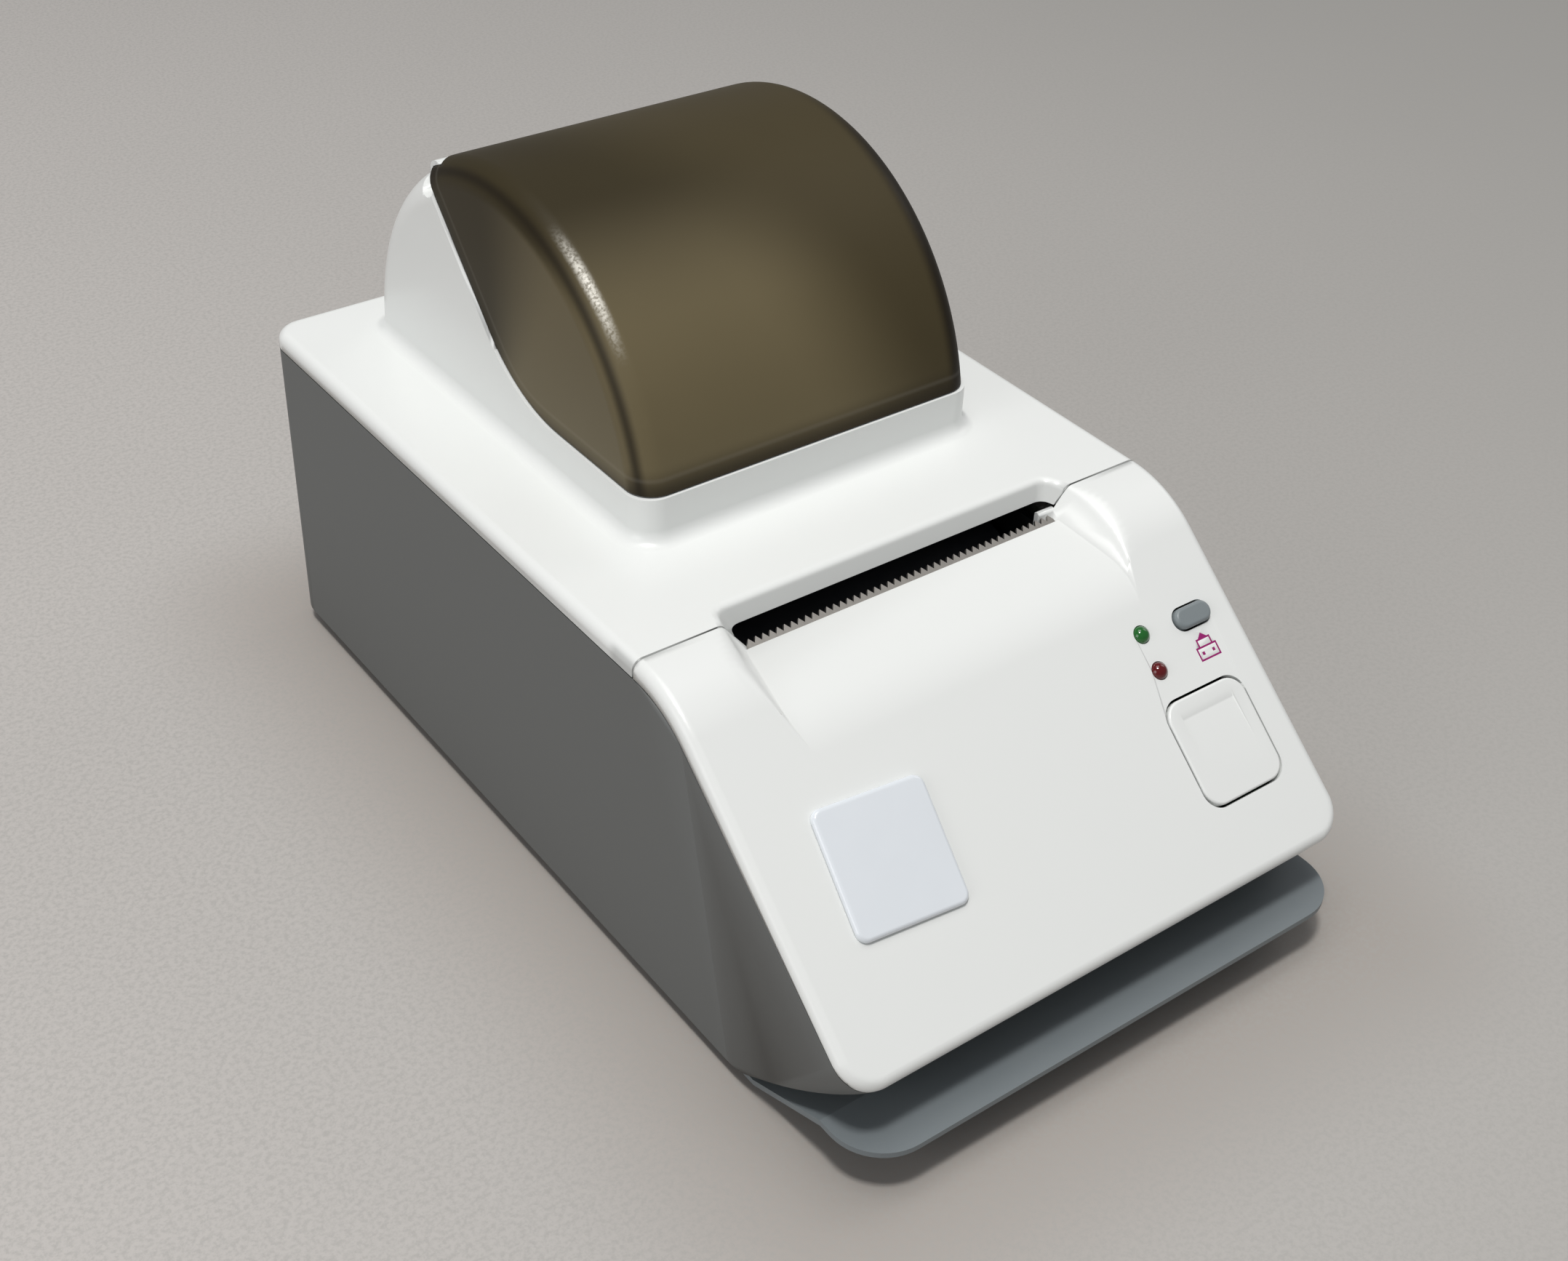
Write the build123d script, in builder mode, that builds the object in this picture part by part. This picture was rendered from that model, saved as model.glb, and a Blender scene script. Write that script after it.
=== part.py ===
from build123d import *

import os
from math import acos, atan2, cos, hypot, pi, radians, sin, sqrt, tan

os.makedirs("parts", exist_ok=True)

# Desktop thermal roll printer: grey tray case, white deck with a hooded roll bay, sloped white front
# with a paper chute, tear bar, feed button, two lamps and a power key, and a smoked tilting roll cover.
# Millimetres. X across, -Y to the front, +Z up. The origin is the middle of the footprint on the table.

# Overall form
deck_half_width = 49.6
side_lean = 0.9
back_lean = 1.5
foot_height = 1.7
plate_thickness = 1.0
seam_height = 58.0
deck_rise = 3.2
rear_corner_radius = 5.0
heel_radius = 5.5
deck_edge_radius = 1.8
case_wall = 2.2
seam_gap = 0.3
reach = 180.0

deck_top = seam_height + deck_rise
deck_bottom = seam_height + seam_gap
belly_height = foot_height + plate_thickness
case_floor = belly_height + case_wall

# Sloped front
slope_angle = 40.0
slope_length = 62.6
nose_radius = 22.0
chin_thickness = 2.2
chin_corner_radius = 6.0
underside_angle = 33.0
belly_radius = 9.0
fascia_depth = 3.0
fascia_taper = 1.9
chin_return = 3.0

slope = radians(slope_angle)
under = radians(underside_angle)
fascia_inner_radius = nose_radius - fascia_depth

# Roll bay, hood and smoked cover: sizes across and round
cover_radius = 44.2
cover_half_width = 32.7
cover_wall = 2.0
cover_shoulder = 4.6
hood_step = 1.1
hood_side_step = 0.5
hood_shoulder = 5.5
bay_wall = 1.6
bay_drop = 0.3

bay_z = deck_top - bay_drop
hood_radius = cover_radius - hood_step
hood_half_width = cover_half_width + hood_side_step
bay_radius = hood_radius - cover_wall
bay_half_width = hood_half_width - cover_wall
bay_shoulder = hood_shoulder - cover_wall
tub_radius = bay_radius + bay_wall

# Places from front to back: plate lip, slope, platen, side plates, bay and rear
plate_overhang = 3.0
platen_setback = 20.55
mech_back_reach = 7.0
bay_front_gap = 4.3
bay_rear_gap = 7.2

slope_run = slope_length * cos(slope)
bay_setback = platen_setback + mech_back_reach + bay_front_gap + tub_radius
overall_depth = plate_overhang + slope_run + bay_setback + tub_radius + bay_rear_gap + case_wall
rear = overall_depth / 2
front = -overall_depth / 2
back_foot = rear - back_lean
slope_start = rear - plate_overhang - slope_run
bay_y = bay_setback - slope_start
platen_y = platen_setback - slope_start
chin_y = -slope_start - slope_run
chin_z = deck_top - slope_length * sin(slope)
chin_low_y = chin_y + chin_thickness * sin(slope)
chin_low_z = chin_z - chin_thickness * cos(slope)
belly_y = chin_low_y + (chin_low_z - belly_height) / tan(under)

# Base plate and feet
plate_side_inset = 1.0
plate_bend_lead = 2.44
plate_rise_length = 16.0
plate_lip_top = 9.2
plate_rear_inset = 6.0
plate_corner_radius = 9.0
foot_radius = 6.5
foot_side_inset = 11.6
foot_front_inset = 43.5
foot_rear_inset = 18.0

plate_bend_y = belly_y - plate_bend_lead
plate_step_y = plate_bend_y - plate_rise_length
foot_x = deck_half_width - foot_side_inset
foot_front_y = front + foot_front_inset
foot_rear_y = rear - foot_rear_inset

# Plinth below the cover and the parting line between hood and cover
plinth_lead = 0.7
plinth_rise = 7.8
plinth_corner = 4.6
plinth_blend = 2.2
part_gap = 0.3
part_rise_lead = 6.5
part_rise_angle = 47.7
part_radius = 28.0

plinth_top = deck_top + plinth_rise
plinth_reach = hood_radius + plinth_lead
part_rise_y = bay_y - part_rise_lead
part_rise = radians(part_rise_angle)
part_height = plinth_top + part_gap

# Cover hinge
hinge_back_angle = 28.5
barrel_radius = 2.4
rod_radius = 1.0
running_gap = 0.05
moving_gap = 0.3
ear_side_inset = 2.1
ear_thickness = 3.6
ear_radius = 2.3
barrel_end_gap = 0.5
rod_end_inset = 0.1
notch_gap = 1.2
hinge_clear = 0.8

ear_outer_x = cover_half_width - ear_side_inset
ear_inner_x = ear_outer_x - ear_thickness
barrel_half_length = ear_inner_x - barrel_end_gap
rod_half_length = ear_outer_x - rod_end_inset
hinge_turn = radians(hinge_back_angle)
hinge_y = bay_y + (cover_radius - barrel_radius) * sin(hinge_turn)
hinge_z = bay_z + (cover_radius - barrel_radius) * cos(hinge_turn)

# Paper chute and tear bar: places back from the slope and down from the deck
seam_setback = 8.15
chute_half_width = 34.1
chute_spread = 0.33
chute_draft = 39.0
chute_wall = 2.0
recess_setback = 12.35
recess_lean = 32.0
recess_depth = 3.8
recess_corner = 2.6
rim_radius = 1.6
cheek_round = 1.4
cheek_share = 0.9
cheek_steps = 14
skin_lift = 0.02
blade_setback = 6.2
blade_drop = 4.5
blade_run = 1.3
blade_rise = 0.7
blade_end_gap = 0.8
blade_thickness = 0.6
blade_length = 5.6
blade_tooth = 1.0
blade_teeth = 46
chute_floor_angle = 11.0
chute_bend_radius = 20.0
mouth_depth = 5.4
tab_inner_x = 28.3
tab_outer_x = 31.6
tab_low_drop = 6.2
tab_top_drop = 3.3
tab_lead = 0.2
tab_depth = 1.0
tab_round = 0.5

seam_y = seam_setback - slope_start
recess_y = recess_setback - slope_start
recess_floor = deck_top - recess_depth
blade_y = blade_setback - slope_start
blade_z = deck_top - blade_drop
blade_tip_y = blade_y + blade_run
blade_tip_z = blade_z + blade_rise
blade_half_length = bay_half_width - blade_end_gap
chute_turn = radians(chute_floor_angle)
blade_turn = atan2(blade_rise, blade_run)
bevel_length = chute_wall / sin(blade_turn - chute_turn)
bevel_y = blade_y - bevel_length * cos(blade_turn)
bevel_z = blade_z - bevel_length * sin(blade_turn)

# Spool
spool_core_radius = 6.25
spool_flange_radius = 13.0
spool_flange_thickness = 1.2
spool_end_gap = 0.7
spool_stub_radius = 2.0
groove_depth = 1.0
stub_end_gap = 0.2

# Lamps, feed button and mark on the slope: insets from the deck's side, places up from the chin
lamp_radius = 1.5
lamp_inset = 19.7
lamp_green_up = 41.8
lamp_red_up = 35.5
lamp_proud = 0.9
lamp_dome = 1.35
lamp_flange = 0.45
lamp_flange_thickness = 0.8
lamp_hole_gap = 0.05
lamp_depth = 4.6
lamp_lead = 0.5
lamp_lead_pitch = 1.27
button_inset = 9.1
button_up = 41.3
button_length = 7.3
button_width = 3.5
button_proud = 1.0
button_crown = 0.6
button_gap = 0.3
collar_width = 1.2
collar_depth = 3.4
button_flange = 0.9
button_flange_thickness = 0.8
mark_up = 36.0
mark_line = 0.3
mark_depth = 0.3
mark_box_width = 4.4
mark_box_height = 2.3
mark_box_drop = 1.05
mark_dot = 0.55
mark_dot_x = 1.1
mark_sheet_width = 3.0
mark_sheet_height = 1.6
mark_arrow_width = 2.2
mark_arrow_height = 1.0

lamp_x = deck_half_width - lamp_inset
button_x = deck_half_width - button_inset
button_along = slope_length - button_up
mark_along = slope_length - mark_up

# Power key and its hinge
key_inset = 14.45
key_up = 21.25
key_width = 16.6
key_length = 17.7
key_corner = 3.3
key_thickness = 2.0
key_proud = 0.3
key_edge = 0.4
key_side_gap = 0.3
key_end_gap = 0.4
scoop_top_up = 28.1
scoop_run = 1.2
scoop_length = 9.6
scoop_depth = 0.35
scoop_half = 5.75
scoop_corner = 1.0
pin_up = 14.2
pin_depth = 3.4
pin_radius = 0.75
lug_radius = 1.5
key_lug_width = 2.4
key_lug_inset = 1.0
frame_lug_width = 2.0
presser_up = 25.2
presser_radius = 1.0
presser_depth = 4.6

key_x = deck_half_width - key_inset
key_along = slope_length - key_up
scoop_along = slope_length - scoop_top_up
pin_along = slope_length - pin_up
presser_along = slope_length - presser_up

# Badge
badge_inset = 20.9
badge_up = 28.1
badge_width = 19.7
badge_length = 20.1
badge_corner = 1.8
badge_turn = -4.6
badge_thickness = 1.0
badge_edge = 0.7

badge_x = badge_inset - deck_half_width
badge_along = slope_length - badge_up

# Key board and its switches
board_thickness = 1.6
key_board_depth = 9.0
key_board_inset = 3.6
key_board_width = 23.8
key_board_low_up = 10.6
key_board_length = 36.2
post_radius = 2.0
post_screw_radius = 0.9
post_edge = 2.2
post_top_edge = 2.4
post_mid_edge = 12.8
post_low_edge = 11.0
tact_size = 6.0
tact_height = 3.5
tact_plunger_radius = 1.6
tact_well = 3.0
tact_engaged = 1.2
switch_size = 8.0
switch_height = 3.1
plunger_size = 3.0
plunger_top_gap = 0.05
plunger_engaged = 1.3
slide_gap = 0.08

key_board_right = deck_half_width - key_board_inset
key_board_left = key_board_right - key_board_width
key_board_bottom_along = slope_length - key_board_low_up
key_board_top_along = key_board_bottom_along - key_board_length
post_left_x = key_board_left + post_edge
post_right_x = key_board_right - post_edge
post_top_along = key_board_top_along + post_top_edge
post_mid_along = key_board_top_along + post_mid_edge
post_low_along = key_board_bottom_along - post_low_edge

# Print mechanism: platen, head and side plates
platen_drop = 18.7
platen_radius = 6.2
platen_end_gap = 1.2
shaft_radius = 2.0
shaft_left_end = 2.0
shaft_right_end = 0.6
bush_radius = 4.0
bush_flange = 1.2
bush_flange_thickness = 0.8
side_plate_gap = 1.5
side_plate_thickness = 1.5
mech_front_reach = 17.0
mech_top_rise = 10.5
mech_shoulder_drop = 1.5
mech_foot_reach = 29.0
mech_foot_drop = 20.5
mech_floor_thickness = 1.5
mech_corner = 4.0
frame_screw_inset = 6.0
frame_screw_x = 24.0
frame_motor_screw_x = 10.0
platen_edge = 0.5
shaft_chamfer = 0.3
head_end_gap = 1.0
head_low = -6.0
head_high = 9.0
head_thickness = 2.6
head_gap = 0.3
head_fin_pitch = 1.5
head_fin_depth = 1.0
line_half_height = 3.0
line_thickness = 0.8
line_end_inset = 0.5
head_pivot_low = -8.0
head_pivot_out = 2.0
head_rod_radius = 1.2
head_lug_radius = 2.2
head_lug_width = 4.0
bar_out = 7.0
bar_thickness = 1.4
bar_low = -3.0
bar_high = 8.0
spring_x = 18.0
spring_high = 3.0
spring_radius = 2.0
spring_wire = 0.35
spring_turns = 3.5
guide_gap = 1.2
guide_thickness = 0.8
guide_end_gap = 1.0
guide_back_reach = 17.0
guide_low_turn = 30.0
guide_tab = 3.0
slot_end_inset = 1.7
slot_low_drop = 9.5
slot_high_drop = 4.0

platen_z = deck_top - platen_drop
platen_half_length = bay_half_width - platen_end_gap
side_plate_inner = platen_half_length + side_plate_gap
side_plate_outer = side_plate_inner + side_plate_thickness
mech_front = platen_y - mech_front_reach
mech_top = platen_z + mech_top_rise
mech_back = platen_y + mech_back_reach
mech_shoulder = platen_z - mech_shoulder_drop
mech_foot_back = platen_y + mech_foot_reach
mech_foot_shoulder = platen_z - mech_foot_drop
frame_spots = [
    (-frame_screw_x, mech_front + frame_screw_inset),
    (frame_screw_x, mech_front + frame_screw_inset),
    (-frame_screw_x, mech_foot_back - frame_screw_inset),
    (frame_motor_screw_x, mech_foot_back - frame_screw_inset),
]
head_half_width = platen_half_length - head_end_gap
guide_half_width = platen_half_length - guide_end_gap
guide_back_y = platen_y + guide_back_reach
slot_half_width = bay_half_width - slot_end_inset
slot_low = platen_z - slot_low_drop
slot_high = platen_z - slot_high_drop

# Gears and motor
gear_module = 0.5
gear_addendum = 0.75
gear_dedendum = 1.25
gear_backlash = 0.12
pressure_angle = 20.0
gear_width = 2.0
gear_side_gap = 0.5
gear_plate_gap = 1.5
platen_teeth = 40
idler_small_teeth = 16
idler_large_teeth = 40
pinion_teeth = 12
idler_direction = -72.0
motor_direction = -30.0
idler_pin_radius = 1.5
idler_hub = 3.0
pin_head_radius = 2.4
pin_head_thickness = 0.8
motor_radius = 10.0
motor_length = 13.0
motor_shaft_radius = 1.0
motor_edge = 1.0
motor_boss_radius = 3.5
motor_boss_height = 1.2
motor_ear_radius = 3.0
motor_ear_offset = 12.5
motor_ear_turn = 140.0
motor_ear_thickness = 0.8

pressure = radians(pressure_angle)
inner_gear_x = side_plate_outer + gear_plate_gap
outer_gear_x = inner_gear_x + gear_width + gear_side_gap
shaft_left = side_plate_outer + shaft_left_end
shaft_right = outer_gear_x + gear_width + shaft_right_end
idler_reach = gear_module * (platen_teeth + idler_small_teeth) / 2
motor_reach = gear_module * (idler_large_teeth + pinion_teeth) / 2
idler_y = platen_y + idler_reach * cos(radians(idler_direction))
idler_z = platen_z + idler_reach * sin(radians(idler_direction))
motor_y = idler_y + motor_reach * cos(radians(motor_direction))
motor_z = idler_z + motor_reach * sin(radians(motor_direction))

# Main board, sockets and screws
main_board_side_inset = 7.6
main_board_front_gap = 2.5
main_board_rear_inset = 6.5
main_board_lift = 3.1
boss_radius = 3.0
boss_side_inset = 5.0
boss_front_inset = 5.0
boss_rear_inset = 17.0
inlet_side = 19.6
inlet_width = 9.0
inlet_height = 11.0
inlet_depth = 14.0
inlet_bore = 3.1
inlet_pin = 1.0
inlet_bore_rise = 6.05
inlet_bore_depth = 9.8
socket_side = 29.6
socket_width = 15.2
socket_height = 13.0
socket_depth = 15.0
socket_wall = 1.4
socket_recess = 0.6
tongue_width = 5.0
tongue_depth = 5.0
opening_gap = 0.3
chip_spots = [(-8.0, 20.0, 14.0), (12.0, 18.0, 9.0), (26.0, 36.0, 7.0)]
chip_height = 1.6
capacitor_edge = 0.4
capacitor_spots = [(-1, 30.0), (-1, 42.0), (1, 30.0)]
capacitor_radius = 3.5
capacitor_height = 7.0
screw_radius = 1.4
screw_head_radius = 2.6
screw_head_height = 1.4
small_screw_radius = 0.9
small_head_radius = 1.8
small_head_height = 0.9

main_board_half = deck_half_width - main_board_side_inset
main_board_front = mech_foot_back + main_board_front_gap
main_board_back = rear - main_board_rear_inset
main_board_z = case_floor + main_board_lift
board_top = main_board_z + board_thickness
board_boss_x = main_board_half - boss_side_inset
board_boss_front = main_board_front + boss_front_inset
board_boss_back = main_board_back - boss_rear_inset
inlet_x = inlet_side - deck_half_width
socket_x = deck_half_width - socket_side


def slope_point(along, depth=0.0):
    """Side-view point at a distance down the slope, sunk to a depth below its surface."""
    y = -slope_start - along * cos(slope) + depth * sin(slope)
    z = deck_top - along * sin(slope) - depth * cos(slope)
    return (y, z)


def slope_plane(across, along, depth=0.0, turn=0.0):
    """Plane on the slope: its x runs across, its y up the slope, its z out of the surface."""
    y, z = slope_point(along, depth)
    tilt = radians(turn)
    side = (cos(tilt), sin(tilt) * cos(slope), sin(tilt) * sin(slope))
    return Plane(origin=(across, y, z), x_dir=side, z_dir=(0, -sin(slope), cos(slope)))


def side_plane(x, y=0.0, z=0.0):
    """Plane facing +X at a point: its x runs to the back, its y up."""
    return Plane(origin=(x, y, z), x_dir=(0, 1, 0), z_dir=(1, 0, 0))


def shifted(path, distance):
    """Open side-view path moved to its left by a distance, with mitred corners."""
    turns = [atan2(b[1] - a[1], b[0] - a[0]) for a, b in zip(path, path[1:])]
    moved = []
    for index, (y, z) in enumerate(path):
        before = turns[max(index - 1, 0)]
        after = turns[min(index, len(turns) - 1)]
        middle = (before + after) / 2 + pi / 2
        far = distance / cos((after - before) / 2)
        moved.append((y + far * cos(middle), z + far * sin(middle)))
    return moved


def prism(points, x_low, x_high, radii=None):
    """Side-view outline carried across from x_low to x_high, with some of its corners rounded."""
    with BuildPart() as block:
        with BuildSketch(side_plane(x_low)) as outline:
            with BuildLine():
                Polyline(*points, close=True)
            make_face()
            for corner, radius in radii or []:
                near = outline.vertices().sort_by_distance(Vector(corner[0], corner[1], 0))[0]
                fillet(near, radius=radius)
        extrude(amount=x_high - x_low)
    return block.part


def leaning_block(inset):
    """Endless block between the leaning side walls, inset from their outer faces."""
    spread = reach * tan(radians(side_lean))
    middle = deck_half_width + seam_height * tan(radians(side_lean)) - inset
    with BuildPart() as block:
        with BuildSketch(Plane.XZ.offset(-reach)):
            with BuildLine():
                Polyline(
                    (-middle - spread, -reach),
                    (middle + spread, -reach),
                    (middle - spread, reach),
                    (-middle + spread, reach),
                    close=True,
                )
            make_face()
        extrude(amount=2 * reach)
    return block.part


def drum(radius, half_width, shoulder):
    """Round drum across the machine on the bay axis, with rounded shoulders."""
    with BuildPart() as solid:
        with BuildSketch(side_plane(-half_width, bay_y, bay_z)):
            Circle(radius)
        extrude(amount=2 * half_width)
        fillet(solid.edges().filter_by(GeomType.CIRCLE), radius=shoulder)
    return solid.part


def rod(y, z, radius, x_low, x_high):
    """Round bar across the machine."""
    with BuildPart() as solid:
        with BuildSketch(side_plane(x_low, y, z)):
            Circle(radius)
        extrude(amount=x_high - x_low)
    return solid.part


def bar(plane, width, height, low, high, corner=0.0):
    """Rectangular bar on a plane from one level to another, with rounded upright corners."""
    with BuildPart() as solid:
        with BuildSketch(plane.offset(low)):
            if corner:
                RectangleRounded(width, height, corner)
            else:
                Rectangle(width, height)
        extrude(amount=high - low)
    return solid.part


def peg(plane, radius, low, high):
    """Round peg on a plane from one level to another."""
    with BuildPart() as solid:
        with BuildSketch(plane.offset(low)):
            Circle(radius)
        extrude(amount=high - low)
    return solid.part


def level_plane(x, y, z):
    """Level plane at a point."""
    return Plane(origin=(x, y, z))


# The whole closed body, from which the case, the deck and the front are parted
body_outline = [
    (back_foot, belly_height),
    (rear, deck_top),
    (-slope_start, deck_top),
    (chin_y, chin_z),
    (chin_low_y, chin_low_z),
    (belly_y, belly_height),
]
body_rounds = [
    ((-slope_start, deck_top), nose_radius),
    ((belly_y, belly_height), belly_radius),
]
heel_round = ((back_foot, belly_height), heel_radius)

with BuildPart() as body:
    add(prism(body_outline, -reach, reach, body_rounds))
    add(leaning_block(0), mode=Mode.INTERSECT)
    sides = body.edges().filter_by(lambda e: abs(e.center().X) > deck_half_width / 2)
    rear_corners = [e for e in sides if e.center().Y > back_foot and e.length > seam_height / 2]
    chin_corners = [e for e in sides if hypot(e.center().Y - chin_y, e.center().Z - chin_z) < chin_thickness]
    fillet(rear_corners, radius=rear_corner_radius)
    fillet(chin_corners, radius=chin_corner_radius)
    rim = body.edges().filter_by(lambda e: e.center().Z > deck_top - 0.01 and abs(e.center().X) > 1)
    fillet(rim, radius=deck_edge_radius)
    add(prism(body_outline, -reach, reach, [heel_round]), mode=Mode.INTERSECT)


# Parting lines between the case, the front and the deck
front_out = (-sin(under), -cos(under))
edge_along = (deck_rise - fascia_depth * cos(slope)) / sin(slope)
lip_y, lip_z = slope_point(slope_length - chin_return, fascia_taper)
lip_out = (lip_y + reach * front_out[0], lip_z + reach * front_out[1])
case_edge = [lip_out, (lip_y, lip_z), slope_point(edge_along, fascia_depth), (reach, seam_height)]
front_edge = shifted(case_edge, seam_gap)
deck_front = seam_y + seam_gap / 2
front_back = seam_y - seam_gap / 2

# Paper chute: a wedge whose side walls spread forward and upward
chute_rise = tan(radians(chute_draft))
recess_slant = tan(radians(recess_lean))


def chute_width(y, z):
    """Half width of the chute at a point of the side view."""
    return chute_half_width - chute_spread * (y - seam_y) + chute_rise * (z - deck_top)


def chute_block(profile, grow, radii=None):
    """Chute wedge grown sideways by a wall and limited to a side-view profile."""
    low = slope_point(floor_far)[1]
    high = deck_top + mouth_depth
    with BuildPart() as block:
        for y in (slope_point(floor_far)[0], recess_y + mouth_depth):
            with BuildSketch(Plane.XZ.offset(-y)):
                slim = chute_width(y, low) + grow
                wide = chute_width(y, high) + grow
                with BuildLine():
                    Polyline((-slim, low), (slim, low), (wide, high), (-wide, high), close=True)
                make_face()
        loft(ruled=True)
        add(prism(profile, -reach, reach, radii), mode=Mode.INTERSECT)
    return block.part


exit_run = (deck_top - blade_z + (slope_start + blade_y) * tan(slope)) / (tan(slope) - tan(chute_turn))
exit_y = blade_y - exit_run
exit_z = blade_z - exit_run * tan(chute_turn)
exit_along = (-slope_start - exit_y) / cos(slope)
floor_far = exit_along + chute_bend_radius
recess_low_y = recess_y - recess_depth * recess_slant
chute_floor = [
    (recess_low_y, bevel_z - chute_wall),
    (bevel_y, bevel_z - chute_wall),
    (bevel_y, bevel_z),
    (blade_y, blade_z),
    (exit_y, exit_z),
    slope_point(floor_far),
    (slope_point(floor_far)[0], deck_top + mouth_depth),
    (recess_y + mouth_depth * recess_slant, deck_top + mouth_depth),
    (recess_low_y, recess_floor),
]

with BuildPart() as chute:
    add(chute_block(chute_floor, 0, [((exit_y, exit_z), chute_bend_radius)]))
    recess_ends = [e for e in chute.edges() if e.center().Y > recess_low_y - 0.5 and abs(e.center().X) > 1]
    fillet([e for e in recess_ends if e.length > 2], radius=recess_corner)

nose_reach = nose_radius * tan(slope / 2)
wall_turn = radians(90 - chute_draft)


def front_height(y):
    """Height of the outer surface of the front at a place from front to back."""
    if y < -slope_start - nose_reach * cos(slope):
        return deck_top + (y + slope_start) * tan(slope)
    return deck_top - nose_radius + sqrt(nose_radius**2 - min(y + slope_start - nose_reach, 0) ** 2)


def cheek_section(y):
    """Cross-section that rounds the ridge between a chute wall and the outer surface."""
    top = front_height(y)
    room = top - blade_z - (y - blade_y) * tan(chute_turn)
    share = (front_back - y) / (front_back - exit_y)
    full = rim_radius * tan(wall_turn / 2) * (1 - share) + cheek_round * sin(pi * share)
    size = min(full, cheek_share * room)
    bulge = size * (1 / cos(wall_turn / 2) - 1) / tan(wall_turn / 2)
    x = chute_width(y, top)
    return [
        (x - size * cos(wall_turn), top - size * sin(wall_turn)),
        (x + bulge * sin(wall_turn / 2), top - bulge * cos(wall_turn / 2)),
        (x + size, top + skin_lift),
        (x + size, top + mouth_depth),
        (x - size * cos(wall_turn), top + mouth_depth),
    ]


with BuildPart() as cheek:
    for index in range(cheek_steps):
        y = front_back + seam_gap + (exit_y - front_back) * index / cheek_steps
        with BuildSketch(Plane.XZ.offset(-y)):
            with BuildLine():
                Polyline(*cheek_section(y), close=True)
            make_face()
    loft(ruled=True)

chute_under = [
    (front_back, bevel_z),
    (bevel_y, bevel_z),
    (exit_y, exit_z - chute_wall / cos(chute_turn)),
    (exit_y - chute_wall * 2, exit_z - chute_wall / cos(chute_turn) - chute_wall),
    (exit_y - chute_wall * 2, deck_top),
    (front_back, deck_top),
]

# White front: shell, chute walls, button collar, screw posts and the lugs that carry the key pin
button_plane = slope_plane(button_x, button_along)
key_plane = slope_plane(key_x, key_along)
pin_y, pin_z = slope_point(pin_along, pin_depth)
lamp_spots = [("green", slope_length - lamp_green_up), ("red", slope_length - lamp_red_up)]
post_spots = [(post_left_x, post_top_along), (post_right_x, post_mid_along), (post_left_x, post_low_along)]
key_hole_width = key_width + 2 * key_side_gap
key_hole_length = key_length + 2 * key_end_gap
lug_x = key_hole_width / 2


def oval(plane, length, width, low, high):
    """Oval block on a plane from one level to another."""
    with BuildPart() as solid:
        with BuildSketch(plane.offset(low)):
            SlotOverall(length, width)
        extrude(amount=high - low)
    return solid.part


def lug(x_low, x_high):
    """Lug hanging from the front to the key pin."""
    with BuildPart() as solid:
        add(rod(pin_y, pin_z, lug_radius, x_low, x_high))
        with BuildSketch(side_plane(x_low)):
            with BuildLine():
                Polyline(
                    slope_point(pin_along - lug_radius, pin_depth),
                    slope_point(pin_along + lug_radius, pin_depth),
                    slope_point(pin_along + lug_radius, fascia_taper / 2),
                    slope_point(pin_along - lug_radius, fascia_taper / 2),
                    close=True,
                )
            make_face()
        extrude(amount=x_high - x_low)
    return solid.part


# Generic feed mark: a box with two dots, a sheet that leaves it and an arrow, as a thin inlay
with BuildPart() as feed_mark:
    sheet_low = mark_box_height / 2 - mark_box_drop - mark_line
    sheet_middle = sheet_low + mark_sheet_height / 2
    arrow_low = sheet_low + mark_sheet_height - mark_line / 2
    with BuildSketch(slope_plane(button_x, mark_along).offset(-mark_depth)):
        with Locations((0, -mark_box_drop)):
            Rectangle(mark_box_width, mark_box_height)
            Rectangle(mark_box_width - 2 * mark_line, mark_box_height - 2 * mark_line, mode=Mode.SUBTRACT)
        with Locations((-mark_dot_x, -mark_box_drop), (mark_dot_x, -mark_box_drop)):
            Rectangle(mark_dot, mark_dot)
        with Locations((0, sheet_middle)):
            Rectangle(mark_sheet_width, mark_sheet_height)
            Rectangle(mark_sheet_width - 2 * mark_line, mark_sheet_height - 2 * mark_line, mode=Mode.SUBTRACT)
        with BuildLine():
            Polyline(
                (-mark_arrow_width / 2, arrow_low),
                (mark_arrow_width / 2, arrow_low),
                (0, arrow_low + mark_arrow_height),
                close=True,
            )
        make_face()
    extrude(amount=mark_depth)
feed_mark.part.label = "feed_mark"
export_step(feed_mark.part, "parts/feed_mark.step")

with BuildPart() as chute_walls:
    add(chute_block(chute_under, chute_wall / cos(radians(chute_draft))))
    add(body.part, mode=Mode.INTERSECT)

tab_points = [
    (front_back - tab_lead, deck_top - tab_low_drop),
    (front_back + tab_depth, deck_top - tab_low_drop),
    (front_back + tab_depth, deck_top - tab_top_drop),
    (front_back - tab_lead, deck_top - tab_top_drop),
]

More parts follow.
